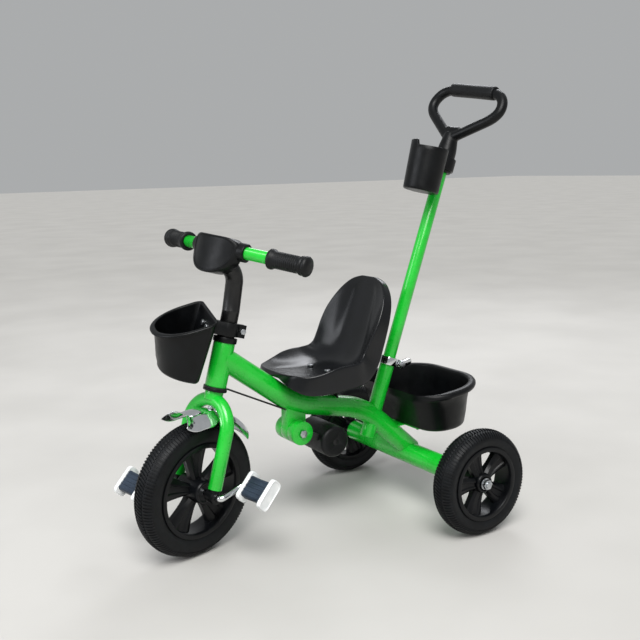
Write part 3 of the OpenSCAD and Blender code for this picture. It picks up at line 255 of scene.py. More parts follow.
def chrome_plate():
    # Chrome plate on pressed steel: mirror bright with slight ripples from the press
    made, tree, shader = new_finish("chrome_plate")
    place = add(tree, "ShaderNodeTexCoord").outputs["Object"]
    shader.inputs["Metallic"].default_value = 1.0
    speckled(tree, shader, place, "#D5D8DB", "#E4E6E8", 25)
    tree.links.new(ranged(tree, place, 9, 0.06, 0.16), shader.inputs["Roughness"])
    ripple = add(tree, "ShaderNodeTexNoise", {"Vector": place, "Scale": per(18), "Detail": 1.0})
    bump = add(tree, "ShaderNodeBump", {"Height": ripple.outputs["Fac"], "Strength": 0.12,
                                        "Distance": 0.002})
    tree.links.new(bump.outputs["Normal"], shader.inputs["Normal"])
    return made


def zinc_plate():
    # Zinc-plated screws and nuts: pale grey metal, cloudy and a little dull
    made, tree, shader = new_finish("zinc_plate")
    place = add(tree, "ShaderNodeTexCoord").outputs["Object"]
    shader.inputs["Metallic"].default_value = 1.0
    speckled(tree, shader, place, "#A9ADB1", "#CDD0D3", 4)
    tree.links.new(ranged(tree, place, 3, 0.25, 0.42), shader.inputs["Roughness"])
    return made


def white_abs():
    # White ABS pedal caps: clean, slightly warm, a moulded half gloss
    made, tree, shader = new_finish("white_abs")
    place = add(tree, "ShaderNodeTexCoord").outputs["Object"]
    speckled(tree, shader, place, "#E4E7E8", "#F3F5F5", 18)
    tree.links.new(ranged(tree, place, 6, 0.28, 0.42), shader.inputs["Roughness"])
    shader.inputs["IOR"].default_value = 1.53
    return made


ENAMEL = stove_enamel_green()
BLACK_ENAMEL = black_enamel()
SEAT_PP = moulded_polypropylene("polypropylene_gloss_black", "#040608", "#090B0F", 0.24, 1.1, 0.006,
                                drift=0.02, shine=0.42)
PANEL_PP = moulded_polypropylene("polypropylene_grained_black", "#040506", "#090B0D", 0.38, 0.9, 0.08)
WHEEL_PP = moulded_polypropylene("polypropylene_wheel_black", "#040507", "#0A0C0F", 0.34, 1.0, 0.06)
SLATE_PP = moulded_polypropylene("polypropylene_slate", "#212A36", "#2E3947", 0.45, 0.9, 0.08)
EVA = foamed_eva()
PVC = soft_pvc()
CHROME = chrome_plate()
ZINC = zinc_plate()
WHITE_ABS = white_abs()


# Making meshes

def body_of(node):
    return frame["nodes"][node]["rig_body"]


def take(name, mesh, finish, node=None, body=None, sharp=40):
    """A mesh that is in its place becomes a piece that rides on a body, and may stand for a solid."""
    mesh.name = name
    mesh.materials.clear()
    mesh.materials.append(finish)
    mesh.polygons.foreach_set("use_smooth", [True] * len(mesh.polygons))
    mesh.set_sharp_from_angle(angle=math.radians(sharp))
    made = bpy.data.objects.new(name, mesh)
    bpy.context.scene.collection.objects.link(made)
    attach(made, body or body_of(node))
    if node:
        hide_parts(node)


def shell(verts, faces, place=None, mend=True):
    """A mesh from points in millimetres, set in its place; doubles merged, faces pointing outwards."""
    mesh = bpy.data.meshes.new("shell")
    mesh.from_pydata([tuple(v) for v in verts], [], faces)
    if mend:
        shape = bmesh.new()
        shape.from_mesh(mesh)
        bmesh.ops.remove_doubles(shape, verts=shape.verts, dist=0.001)
        bmesh.ops.recalc_face_normals(shape, faces=shape.faces)
        shape.to_mesh(mesh)
        shape.free()
    if place is not None:
        mesh.transform(Matrix.Scale(MM, 4) @ place)
    return mesh


def lathe(profile, steps):
    """A closed profile of (radius, height) turned about Z."""
    n = len(profile)
    verts = []
    for i in range(steps):
        a = math.tau * i / steps
        verts += [(r * math.cos(a), r * math.sin(a), h) for r, h in profile]
    faces = [(i * n + j, (i + 1) % steps * n + j, (i + 1) % steps * n + (j + 1) % n, i * n + (j + 1) % n)
             for i in range(steps) for j in range(n)]
    return verts, faces


def soften(points, reach, steps=4, closed=True):
    """Rounds the corners of a line or an outline, from a distance of up to reach on both sides."""
    made = []
    n = len(points)
    for i, p in enumerate(points):
        if not closed and i in (0, n - 1):
            made.append(tuple(p))
            continue
        p = Vector(p)
        a, b = Vector(points[i - 1]) - p, Vector(points[(i + 1) % n]) - p
        far = reach[i] if isinstance(reach, (list, tuple)) else reach
        a *= min(far / a.length, 0.49)
        b *= min(far / b.length, 0.49)
        for k in range(steps + 1):
            t = k / steps
            made.append(tuple(p + a * (1 - t) ** 2 + b * t ** 2))
    return made


def loft(rings, ends=True):
    """A skin through rings of equal count, with a face on the first and the last."""
    n = len(rings[0])
    verts = [p for ring in rings for p in ring]
    faces = [(j * n + i, j * n + (i + 1) % n, (j + 1) * n + (i + 1) % n, (j + 1) * n + i)
             for j in range(len(rings) - 1) for i in range(n)]
    if ends:
        faces += [tuple(range(n))[::-1], tuple((len(rings) - 1) * n + i for i in range(n))]
    return verts, faces


def sweep(path, radii, sides, closed=False):
    """A round rod along a path, with a radius at each point."""
    path = [Vector(p) for p in path]
    n = len(path)
    way = []
    for i in range(n):
        a = path[i - 1] if closed or i > 0 else path[0]
        b = path[(i + 1) % n] if closed or i < n - 1 else path[-1]
        way.append((b - a).normalized())
    side = way[0].orthogonal().normalized()
    rings = []
    for i in range(n):
        side = (side - way[i] * side.dot(way[i])).normalized()
        up = way[i].cross(side)
        rings.append([path[i] + (side * math.cos(a) + up * math.sin(a)) * radii[i]
                      for a in (math.tau * k / sides for k in range(sides))])
    if closed:
        # the last ring meets the first, turned to the point that lies nearest
        first = min(range(sides), key=lambda k: (rings[0][k] - rings[-1][0]).length)
        rings.append(rings[0][first:] + rings[0][:first])
    return loft(rings, not closed)


def join(*parts):
    """Several (points, faces) as one."""
    verts, faces = [], []
    for v, f in parts:
        faces += [tuple(k + len(verts) for k in face) for face in f]
        verts += list(v)
    return verts, faces


def mixed(a, b, t):
    return a + (b - a) * t


def shifted(part, place):
    return [place @ Vector(v) for v in part[0]], part[1]


def finished(mesh, *modifiers):
    """The mesh after modifiers, as a plain mesh."""
    made = bpy.data.objects.new("in_work", mesh)
    bpy.context.scene.collection.objects.link(made)
    for kind, settings in modifiers:
        modifier = made.modifiers.new(kind.lower(), kind)
        for key, value in settings.items():
            setattr(modifier, key, value)
    result = bpy.data.meshes.new_from_object(made.evaluated_get(bpy.context.evaluated_depsgraph_get()))
    bpy.data.objects.remove(made)
    return result


# One shape repeated in a row or about an axle

def repeat_tree():
    tree = bpy.data.node_groups.new("repeat_in_step", "GeometryNodeTree")
    for name, kind in (("Shape", "Geometry"), ("Count", "Int"), ("Step", "Vector"), ("Turn", "Vector"),
                       ("Finish", "Material")):
        tree.interface.new_socket(name, in_out="INPUT", socket_type="NodeSocket" + kind)
    tree.interface.new_socket("Shape", in_out="OUTPUT", socket_type="NodeSocketGeometry")
    given = add(tree, "NodeGroupInput").outputs
    row = add(tree, "GeometryNodeMeshLine", {"Count": given["Count"], "Offset": given["Step"]})
    place = add(tree, "GeometryNodeInputIndex")
    angle = add(tree, "ShaderNodeVectorMath", {"Vector": given["Turn"], "Scale": place.outputs["Index"]},
                operation="SCALE")
    spin = add(tree, "FunctionNodeEulerToRotation", {"Euler": angle.outputs["Vector"]})
    copies = add(tree, "GeometryNodeInstanceOnPoints", {
        "Points": row.outputs["Mesh"], "Instance": given["Shape"], "Rotation": spin.outputs["Rotation"]})
    real = add(tree, "GeometryNodeRealizeInstances", {"Geometry": copies.outputs["Instances"]})
    painted = add(tree, "GeometryNodeSetMaterial", {"Geometry": real.outputs["Geometry"],
                                                    "Material": given["Finish"]})
    add(tree, "NodeGroupOutput", {"Shape": painted.outputs["Geometry"]})
    return tree


REPEAT = repeat_tree()


def repeated(part, place, finish, count, step=(0, 0, 0), turned=(0, 0, 0)):
    """A shape in millimetres, repeated by the tree and set in its place."""
    made = bpy.data.objects.new("in_work", shell(*part))
    bpy.context.scene.collection.objects.link(made)
    modifier = made.modifiers.new("repeat", "NODES")
    modifier.node_group = REPEAT
    names = {s.name: s.identifier for s in REPEAT.interface.items_tree if s.in_out == "INPUT"}
    for name, value in (("Count", count), ("Step", step), ("Turn", turned), ("Finish", finish)):
        modifier[names[name]] = value
    mesh = bpy.data.meshes.new_from_object(made.evaluated_get(bpy.context.evaluated_depsgraph_get()))
    bpy.data.objects.remove(made)
    mesh.transform(Matrix.Scale(MM, 4) @ place)
    return mesh


# Camera, floor and light

CAMERA_TURN = (237.89, 9.8, -1.29)
CAMERA_SPOT = (1116.71, 1446.74, 702.38)


def camera():
    yaw, pitch, roll = (math.radians(a) for a in CAMERA_TURN)
    ahead = Vector((math.cos(yaw) * math.cos(pitch), math.sin(yaw) * math.cos(pitch), -math.sin(pitch)))
    right = ahead.cross(Vector((0, 0, 1))).normalized()
    up = right.cross(ahead)
    right = right * math.cos(roll) + up * math.sin(roll)
    up = right.cross(ahead)
    data = bpy.data.cameras.new("camera")
    data.lens = 50.39
    data.sensor_width = 36
    made = bpy.data.objects.new("camera", data)
    bpy.context.scene.collection.objects.link(made)
    spot = TRIKE @ Vector(CAMERA_SPOT) * MM
    made.matrix_world = Matrix.Translation(spot) @ Matrix((right, up, -ahead)).transposed().to_4x4()
    bpy.context.scene.camera = made


def light(name, spot, size, power, colour):
    data = bpy.data.lights.new(name, "AREA")
    data.size = size
    data.energy = power
    data.color = tint(colour)[:3]
    made = bpy.data.objects.new(name, data)
    bpy.context.scene.collection.objects.link(made)
    aim = Vector((0, 0, 0.3)) - Vector(spot)
    made.matrix_world = Matrix.Translation(spot) @ aim.to_track_quat("-Z", "Y").to_matrix().to_4x4()


def floor():
    # Plain pale studio floor, one wide flat square
    made, tree, shader = new_finish("pale_studio_floor")
    place = add(tree, "ShaderNodeTexCoord").outputs["Object"]
    speckled(tree, shader, place, "#BAB8B4", "#C1BFBB", 400)
    shader.inputs["Roughness"].default_value = 0.8
    mesh = bpy.data.meshes.new("floor")
    mesh.from_pydata([(-30, -30, 0), (30, -30, 0), (30, 30, 0), (-30, 30, 0)], [], [(0, 1, 2, 3)])
    mesh.materials.append(made)
    ground = bpy.data.objects.new("floor", mesh)
    bpy.context.scene.collection.objects.link(ground)


def studio():
    world = bpy.data.worlds.new("studio")
    bpy.context.scene.world = world
    world.use_nodes = True
    back = next(n for n in world.node_tree.nodes if n.type == "BACKGROUND")
    back.inputs["Color"].default_value = tint("#D3D5D6")
    back.inputs["Strength"].default_value = 0.62
    daylight = bpy.data.lights.new("daylight", "SUN")
    daylight.energy = 2.3
    daylight.angle = math.radians(35)
    sun = bpy.data.objects.new("daylight", daylight)
    bpy.context.scene.collection.objects.link(sun)
    sun.matrix_world = Vector((-0.35, -0.5, -1.0)).to_track_quat("-Z", "Y").to_matrix().to_4x4()
    light("key", (1.2, 2.2, 2.6), 1.6, 42, "#FFFEFB")
    light("side", (2.6, -0.4, 1.6), 1.4, 22, "#F6F9FF")
    light("back", (-1.8, -1.6, 2.2), 1.2, 24, "#F8FAFF")
    bpy.context.scene.view_settings.view_transform = "Standard"


# Solids that keep their shape: edges eased, seams smooth, a better finish

EASED_FROM = 32


def eased(node, finish, width):
    shape = bmesh.new()
    shape.from_mesh(frame["nodes"][node].data)
    bmesh.ops.remove_doubles(shape, verts=shape.verts, dist=2e-6)
    bmesh.ops.dissolve_limit(shape, angle_limit=math.radians(0.5), verts=shape.verts, edges=shape.edges)
    mesh = bpy.data.meshes.new(node)
    shape.to_mesh(mesh)
    shape.free()
    mesh = finished(mesh, ("BEVEL", {"width": width * MM, "segments": 2, "limit_method": "ANGLE",
                                     "angle_limit": math.radians(EASED_FROM)}))
    take(node + "_eased", mesh, finish, node, sharp=EASED_FROM)


# Frame tubes

MAIN_LINE = [(422.18, 0, 362.47), (274.4, 0, 253), (111, 0, 217), (-10, 0, 107.3)]
MAIN_BEND_R = 160
MAIN_R = 21
CROSS_R = 22
CROSS_HALF = 192
TUBE_WALL = 1.8
SOCKET_R = 14.7
SOCKET_FOOT = -57.2
CUT_T = 0.5


def bent(points, radius):
    """A line of straights whose corners are bent to one radius."""
    steps = 16
    points = [Vector(p) for p in points]
    made = [points[0]]
    for before, corner, after in zip(points, points[1:], points[2:]):
        way, onward = (corner - before).normalized(), (after - corner).normalized()
        half = way.angle(onward) / 2
        middle = corner + (onward - way).normalized() * radius / math.cos(half)
        spoke = corner - way * radius * math.tan(half) - middle
        axis = way.cross(onward).normalized()
        turns = (2 * half * i / steps for i in range(steps + 1))
        made += [middle + Matrix.Rotation(a, 3, axis) @ spoke for a in turns]
    return made + [points[-1]]


def frame_tubes():
    line = bent(MAIN_LINE, MAIN_BEND_R)
    sides = 56
    steerer = Vector((-math.sin(math.radians(RAKE)), 0, math.cos(math.radians(RAKE))))
    away = (line[1] - line[0]).normalized()
    across = away - steerer * away.dot(steerer)

    def coped(p):
        """A point of the tube's mouth, drawn out to the head tube's wall."""
        off = p - line[0]
        off = off - steerer * off.dot(steerer)
        half = off.dot(across)
        root = math.sqrt(max(half ** 2 - across.length_squared * (off.length_squared - HEAD_R ** 2), 0))
        return p + away * (root - half) / across.length_squared

    skins = []
    for r in (MAIN_R, MAIN_R - TUBE_WALL):
        verts, _ = sweep(line, [r] * len(line), sides)
        rings = [verts[i:i + sides] for i in range(0, len(line) * sides, sides)]
        rings[0] = [coped(p) for p in rings[0]]
        skins.append(rings)
    outer, inner = skins
    end, back = line[-1], (line[-2] - line[-1]).normalized() * TUBE_WALL
    inner[-1] = [p + back for p in inner[-1]]
    plug = [[end + (p - end) * k for p in outer[-1]] for k in (0.985, 0.5, 0.02)]
    rings = outer + plug + [[p + back for p in plug[-1]]] + inner[::-1] + [outer[0]]
    mesh = shell(*loft(rings, False), TRIKE)
    take("main_tube_drawn", mesh, ENAMEL, "main_tube", sharp=50)
    wall = soften([(CROSS_R - TUBE_WALL, -CROSS_HALF), (CROSS_R, -CROSS_HALF), (CROSS_R, CROSS_HALF),
                   (CROSS_R - TUBE_WALL, CROSS_HALF)], 0.5, 2)
    mesh = shell(*lathe(wall, 72), TRIKE @ move(0, 0, REAR_R) @ ALONG_Y)
    take("cross_tube_drawn", mesh, ENAMEL, "cross_tube", sharp=50)
    cut = [(SOCKET_R - TUBE_WALL, SOCKET_FOOT), (SOCKET_R, SOCKET_FOOT), (SOCKET_R, SOCKET_FOOT + CUT_T),
           (SOCKET_R - TUBE_WALL, SOCKET_FOOT + CUT_T)]
    mesh = shell(*lathe(cut, 56), POLE)
    take("push_bar_socket_cut_end", mesh, ZINC, body=body_of("push_bar_socket"))


# Wheels

TREAD_H = 2.0
TREAD_PITCH = 6.4
SPOKES = 5
SPOKE_HALF_HUB = 10.5
SPOKE_HALF_T = 12.8
SPOKE_WAIST = 3.6
GROOVE = 2.2
FLANGE = 3.5
HUB_FACE = 196.4
# Radius of the hub, its outer face, its bore and the width of a spoke at the rim
FRONT_HUB = (22, 31, 5.5, 56)
REAR_HUB = (19, 18, 6.05, 42)


def tyre_line(r, y):
    """Radius of the tyre's crown at a distance from its middle."""
    crown = TYRE_W / 2 * 1.35
    return r - crown + math.sqrt(crown ** 2 - y ** 2)


def tyre(node, r, rim_r, place):
    crown = [(tyre_line(r, y) - TREAD_H, y) for y in (-22, -18, -12, -6, 0, 6, 12, 18, 22)]
    shoulder = tyre_line(r, TYRE_W / 2) - TREAD_H
    wall = [(rim_r, 19), (rim_r + 3, 20.6), (rim_r + 9, 23.2), (rim_r + 15, 24.2), (shoulder - 3, 24.3)]
    outline = [(at, -y) for at, y in wall] + crown + wall[::-1]
    mesh = shell(*lathe(soften(outline, 2.5, 2), 144), place @ ALONG_Y)
    take(node + "_carcass", mesh, EVA, node)
    count = round(math.tau * r / TREAD_PITCH)
    pitch = math.tau / count

    def lug(line, width, skew):
        """A bar of tread that follows the crown, as (distance from the middle, height) points."""
        rings = []
        for y, height in line:
            lean = skew * (y - line[0][0])
            floor_r = tyre_line(r, y) - TREAD_H
            low, high = floor_r - 1, floor_r + height
            rings.append([(low, lean - width / 2, y), (high, lean - width * 0.36, y),
                          (high, lean + width * 0.36, y), (low, lean + width / 2, y)])
        return loft(rings)

    outer = [(10.5, 1.2), (12, 1.9), (16, 1.9), (20, 1.9), (22.5, 1.7), (24, 0.4)]
    inner = [(-7.5, 1.2), (-6.5, 1.9), (0, 2.0), (6.5, 1.9), (7.5, 1.2)]
    left = lug(outer, 4.0, 0.12)
    right = [(x, -y, -z) for x, y, z in left[0]], left[1]
    half_pitch = turn(math.degrees(pitch / 2), "Z")
    part = join(left, shifted(right, half_pitch), shifted(lug(inner, 3.6, 0.45), half_pitch))
    mesh = repeated(part, place @ ALONG_Y, EVA, count, turned=(0, 0, pitch))
    take(node + "_tread", mesh, EVA, body=body_of(node))


def rim(node, rim_r, hub_from, hub_sizes, place):
    hub_r, hub_to, bore_r, spoke_w = hub_sizes
    inner, outer = rim_r - 5, rim_r + FLANGE
    barrel = [(inner, -23.5), (outer, -23.5), (outer, -20.6), (rim_r, -19), (rim_r, 19), (outer, 20.6),
              (outer, 23.5), (inner, 23.5), (inner - 1.5, 18), (inner - 1.5, -18)]
    hub = [(bore_r, hub_from), (hub_r - 2, hub_from), (hub_r, hub_from + 4), (hub_r + 1.5, 0),
           (hub_r, hub_to - 4), (hub_r - 2, hub_to), (hub_r - 5, hub_to), (hub_r - 6, hub_to - 2),
           (bore_r, hub_to - 2)]
    parts = [lathe(soften(barrel, 1.4, 2), 120), lathe(soften(hub, 1.2, 2), 64)]
    take(node + "_barrel", shell(*join(*parts), place @ ALONG_Y), WHEEL_PP, node)
    rings = []
    stations = 9
    for i in range(stations):
        t = i / (stations - 1)
        at = mixed(hub_r - 3, inner + 1.5, t)
        half_w = mixed(SPOKE_HALF_HUB, spoke_w / 2, t ** 1.1)
        half_t = SPOKE_HALF_T - SPOKE_WAIST * math.sin(math.pi * t)
        # one quarter of the spoke's section, from its side to the groove along its middle
        corner = [(1, half_t * 0.55), (0.62, half_t), (0.4, half_t), (0.28, half_t - GROOVE)]
        face = [(half_w, -half_t * 0.55)] + [(half_w * w, h) for w, h in corner]
        face += [(-half_w * w, h) for w, h in corner[::-1]]
        face += [(-half_w * w, -h) for w, h in corner]
        face += [(half_w * w, -h) for w, h in corner[:0:-1]]
        rings.append([(min(at, math.sqrt((inner + 3) ** 2 - w ** 2)), w, h) for w, h in face])
    mesh = repeated(loft(rings), place @ ALONG_Y, WHEEL_PP, SPOKES, turned=(0, 0, math.tau / SPOKES))
    take(node + "_spokes", mesh, WHEEL_PP, body=body_of(node), sharp=35)


def wheels():
    left = TRIKE @ move(0, TRACK / 2, REAR_R)
    right = TRIKE @ move(0, -TRACK / 2, REAR_R) @ turn(180, "Z")
    tyre("front_tyre", FRONT_R, FRONT_RIM, STEERED)
    tyre("rear_left_tyre", REAR_R, REAR_RIM, left)
    tyre("rear_right_tyre", REAR_R, REAR_RIM, right)
    rim("front_rim", FRONT_RIM, -FRONT_HUB[1], FRONT_HUB, STEERED)
    rim("rear_left_rim", REAR_RIM, HUB_FACE - TRACK / 2, REAR_HUB, left)
    rim("rear_right_rim", REAR_RIM, HUB_FACE - TRACK / 2, REAR_HUB, right)


# Seat

# Rows from the front of the pan to the top of the back, as shares of the seat's sizes
SEAT_FORE = [0.45, 0.432, 0.388, 0.314, 0.212, 0.115, 0, -0.106, -0.204, -0.283, -0.336, -0.381, -0.425,
             -0.465, -0.496, -0.518, -0.527]
SEAT_RISE = [0.058, 0.052, 0.04, 0.02, 0.006, 0, 0, 0.006, 0.035, 0.116, 0.244, 0.407, 0.57, 0.721, 0.849,
             0.942, 0.985]
SEAT_HALF = [0.13, 0.25, 0.345, 0.42, 0.467, 0.49, 0.5, 0.5, 0.47, 0.446, 0.45, 0.465, 0.455, 0.41, 0.335,
             0.235, 0.11]
SEAT_EDGE = [0, 0.006, 0.015, 0.03, 0.066, 0.102, 0.12, 0.119, 0.122, 0.13, 0.126, 0.107, 0.084, 0.055,
             0.03, 0.01, 0]
SEAT_SKIRT = [0.05, 0.1, 0.145, 0.178, 0.205, 0.225, 0.23, 0.228, 0.222, 0.21, 0.185, 0.15, 0.125, 0.105,
              0.09, 0.07, 0.05]
SEAT_W = 202
SEAT_LEN = 226
SEAT_BACK = 172
SEAT_X = 214
SEAT_Z = 312
SEAT_T = 4
SEAT_ROLL = 2.42
BACK_SUNK = 2.6
PAN_SUNK = 2.0


def share(values, u):
    """A value between rows, on a smooth curve through them."""
    i = min(int(u), len(values) - 2)
    f = u - i
    a, b, c, d = values[max(i - 1, 0)], values[i], values[i + 1], values[min(i + 2, len(values) - 1)]
    return b + f * ((c - a) + f * ((a * 2 - b * 5 + c * 4 - d) + f * (b * 3 - a - c * 3 + d))) / 2


def step(low, high, x):
    t = min(max((x - low) / (high - low), 0), 1)
    return t * t * (3 - 2 * t)


def seat():
    rows, cols, last = 56, 28, len(SEAT_FORE) - 1
    roll = SEAT_ROLL

    def middle(u):
        fore, up = share(SEAT_FORE, u), max(share(SEAT_RISE, u), 0)
        return Vector((SEAT_X + SEAT_LEN * fore, 0, SEAT_Z + SEAT_BACK * up))

    def rise(u):
        way = (middle(min(u + 0.1, last)) - middle(max(u - 0.1, 0))).normalized()
        return Vector((way.z, 0, -way.x))

    def panel(u, w):
        """The sunk panel of the back and of the pan, in millimetres below the sides."""
        back = step(9.2, 10.8, u) * (1 - step(13.4, 15.0, u))
        pan = step(1.6, 3.0, u) * (1 - step(6.6, 8.2, u))
        edge = 0.52 + 0.06 * math.sin(u * 0.9)
        return (BACK_SUNK * back + PAN_SUNK * pan) * (1 - step(edge - 0.1, edge + 0.08, w))

    def point(u, v):
        lift = SEAT_W * share(SEAT_EDGE, u) * abs(v) ** 3 - panel(u, abs(v))
        return middle(u) + rise(u) * lift + Vector((0, v * SEAT_W * share(SEAT_HALF, u), 0))

    def inner(i, j):
        """A place of the underside, which keeps clear of the rim."""
        u = 0.6 + (last - 1.2) * i / rows
        return u, (2 * j / cols - 1) * (1 - SEAT_T * 0.75 / (SEAT_W * share(SEAT_HALF, u)))

    top = [point(last * i / rows, 2 * j / cols - 1) for i in range(rows + 1) for j in range(cols + 1)]
    below = []
    for i in range(rows + 1):
        for j in range(cols + 1):
            u, v = inner(i, j)
            below.append(point(u, v) - rise(u) * SEAT_T)
    rim = ([(0, j) for j in range(cols)] + [(i, cols) for i in range(rows)]
           + [(rows, j) for j in range(cols, 0, -1)] + [(i, 0) for i in range(rows, 0, -1)])
    at = [i * (cols + 1) + j for i, j in rim]
    n = len(rim)
    verts = top + below
    loops = [at]
    sides = []
    for k, (i, j) in enumerate(rim):
        u = last * i / rows
        along = top[at[(k + 1) % n]] - top[at[k - 1]]
        outwards = along.cross(rise(u)).normalized()
        sides.append((top[at[k]], outwards, rise(u), SEAT_W * share(SEAT_SKIRT, u)))
    # the rim rolls outwards and down into the skirt, then the skirt's foot turns in
    for out, share_down, down in ((0.8, 0, 0.25), (1.7, 0, 1.1), (2.3, 0, 2.6), (roll, 0.3, 1.5),
                                  (roll, 0.75, 0.5), (roll, 1, -1.4), (1.8, 1, -0.3), (0.6, 1, 0)):
        loops.append([len(verts) + k for k in range(n)])
        verts += [p + side * out - up * (skirt * share_down + down) for p, side, up, skirt in sides]
    for share_down, down in ((1, -roll), (1, -roll - 1), (0.5, 1)):
        loops.append([len(verts) + k for k in range(n)])
        for i, j in rim:
            u, v = inner(i, j)
            skirt = SEAT_W * share(SEAT_SKIRT, last * i / rows)
            verts.append(point(u, v) - rise(u) * (skirt * share_down + down))
    loops.append([len(top) + k for k in at])
    wide = cols + 1
    corners = [first + i * wide + j for first in (0, len(top)) for i in range(rows) for j in range(cols)]
    faces = [(k, k + 1, k + wide + 1, k + wide) for k in corners]
    faces += [(a[k], a[(k + 1) % n], b[(k + 1) % n], b[k])
              for a, b in zip(loops, loops[1:]) for k in range(n)]
    mesh = finished(shell(verts, faces, TRIKE), ("SUBSURF", {"levels": 1, "render_levels": 1}))
    take("seat_shell", mesh, SEAT_PP, "seat", sharp=70)


# Baskets

BASKET_BACK = 40
BASKET_DEPTH = 91
BASKET_W = 126
BASKET_FLOOR = 200
BASKET_RIM = 324
BASKET_DIP = 51
BASKET_FLOOR_DEPTH = 0.74
BASKET_FLOOR_W = 0.86
BASKET_BACK_R = 12
BASKET_FRONT_R = 58
TUB_FRONT = 48
TUB_FLOOR_FRONT = 24
TUB_LEN = 159
TUB_W = 246
TUB_FLOOR = 170
TUB_RIM = 250
TUB_RISE = 16
TUB_FLOOR_LEN = 0.8
TUB_FLOOR_W = 0.92
TUB_BACK_R = 84
TUB_FRONT_R = 46


def tub_ring(back, front, half_w, back_r, front_r):
    """A rectangle with round corners, seen from above."""
    made = []
    steps = 12
    for cx, cy, r, start in ((front - front_r, half_w - front_r, front_r, 0),
                             (back + back_r, half_w - back_r, back_r, 90),
                             (back + back_r, back_r - half_w, back_r, 180),
                             (front - front_r, front_r - half_w, front_r, 270)):
        for i in range(steps + 1):
            a = math.radians(start + 90 * i / steps)
            made.append((cx + r * math.cos(a), cy + r * math.sin(a)))
    return made


def basket_ring(inset, t, lift):
    """A ring of the front basket, from its floor at 0 to its rim at 1, set in and lifted."""
    depth, wide = BASKET_DEPTH * mixed(BASKET_FLOOR_DEPTH, 1, t), mixed(BASKET_FLOOR_W, 1, t)
    line = tub_ring(BASKET_BACK + max(inset, 0), BASKET_BACK + depth - inset, BASKET_W * wide / 2 - inset,
                    max(BASKET_BACK_R * wide - inset, 1), max(BASKET_FRONT_R * wide - inset, 1))

    def rim_at(x):
        return BASKET_RIM - BASKET_DIP * (x - BASKET_BACK) / BASKET_DEPTH

    return [(x, y, mixed(BASKET_FLOOR, rim_at(x), t) + lift) for x, y in line]


def front_basket():
    # outside from the floor up, the rolled rim, then inside down to the floor
    rows = [(7, 0, 0), (4, 0, 0.8), (1.6, 0, 3), (0.4, 0, 5.5), (0, 0, 8.5)]
    rows += [(0, t, 0) for t in (0.25, 0.5, 0.75, 0.955)]
    rows += [(0, 1, -5), (-3, 1, -5.2), (-4.7, 1, -4), (-5, 1, -2.4), (-4.4, 1, -0.8), (-3, 1, 0),
             (0, 1, 0.2), (2, 1, -0.2), (2.9, 1, -1.4), (3, 1, -3.5)]
    rows += [(3, t, 0) for t in (0.75, 0.5, 0.25)]
    rows += [(3, 0, 11.5), (3.6, 0, 8), (5.5, 0, 5), (8.5, 0, 3.4), (11, 0, 3)]
    mesh = shell(*loft([basket_ring(*row) for row in rows]), BASKET)
    take("front_basket_moulding", mesh, PANEL_PP, "front_basket", sharp=50)


def tub_row(inset, t, lift):
    """A ring of the rear tub, from its floor at 0 to its rim at 1, set in and lifted."""
    length, wide = TUB_LEN * mixed(TUB_FLOOR_LEN, 1, t), mixed(TUB_FLOOR_W, 1, t)
    front = mixed(TUB_FLOOR_FRONT, TUB_FRONT, t)
    line = tub_ring(front - length + inset, front - max(inset, 0), TUB_W * wide / 2 - inset,
                    max(TUB_BACK_R * wide - inset, 1), max(TUB_FRONT_R * wide - inset, 1))

    def rim_at(x):
        return TUB_RIM + TUB_RISE * (TUB_FRONT - x) / TUB_LEN

    return [(x, y, mixed(TUB_FLOOR, rim_at(x), t) + lift) for x, y in line]


def rear_tub():
    # outside from the floor up, the wide rolled rim, then inside down to the floor
    rows = [(9, 0, 0), (5, 0, 1), (2, 0, 3.6), (0.6, 0, 6.5), (0, 0, 10)]
    rows += [(0, t, 0) for t in (0.3, 0.6)]
    rows += [(0, 1, -15), (-2, 1, -13.2), (-8, 1, -13), (-11.6, 1, -12), (-13, 1, -9), (-12.8, 1, -5.5),
             (-10.5, 1, -2.2), (-6.5, 1, -0.4), (-2, 1, 0), (1, 1, -0.6), (2.6, 1, -2.4), (3, 1, -5)]
    rows += [(3, t, 0) for t in (0.75, 0.5, 0.25)]
    rows += [(3, 0, 13), (3.8, 0, 9), (6, 0, 5.5), (9, 0, 3.6), (12, 0, 3)]
    mesh = shell(*loft([tub_row(*row) for row in rows]), TRIKE)
    take("rear_tub_moulding", mesh, PANEL_PP, "rear_tub", sharp=50)


# Steering

BAR_HOLD_R = 11.2
RIB_PITCH = 4
COVER_HALF_W = 56
COVER_LOW = 47
COVER_HIGH = 20
COVER_BOW_R = 95
COVER_FRONT = 21


def grips():
    # from the closed end with its knob to the flange at the open end
    line = [(0, -0.4), (7, -0.2), (12, 0.8), (16, 3), (17.8, 6), (18, 8.5), (17, 11), (15.8, 12.4),
            (16.6, 13.6), (17, 15.5), (16.4, 17.4), (15, 18.6), (14.4, 22), (14.3, 40), (14.8, 60),
            (15.2, 68), (16.2, 71), (17.6, 72.6), (18, 75), (17.8, 78), (16.5, 79.6), (13, GRIP_LEN),
            (BAR_HOLD_R, GRIP_LEN), (BAR_HOLD_R, 6), (0, 6)]
    for side, node in ((1, "left_grip"), (-1, "right_grip")):
        tip = move(0, side * (BAR_LEN / 2 + 5), 0)
        place = BAR @ turn(side * BAR_SWEEP, "Z") @ tip @ turn(side * 90, "X")
        take(node + "_moulding", shell(*lathe(line, 56), place), PVC, node, sharp=70)
        bead = lathe([(14.0, -1.1), (14.9, -0.8), (15.2, 0), (14.9, 0.8), (14.0, 1.1)], 40)
        mesh = repeated(bead, place @ move(0, 0, 25), PVC, 11, step=(0, 0, RIB_PITCH))
        take(node + "_ribs", mesh, PVC, body=body_of(node), sharp=70)


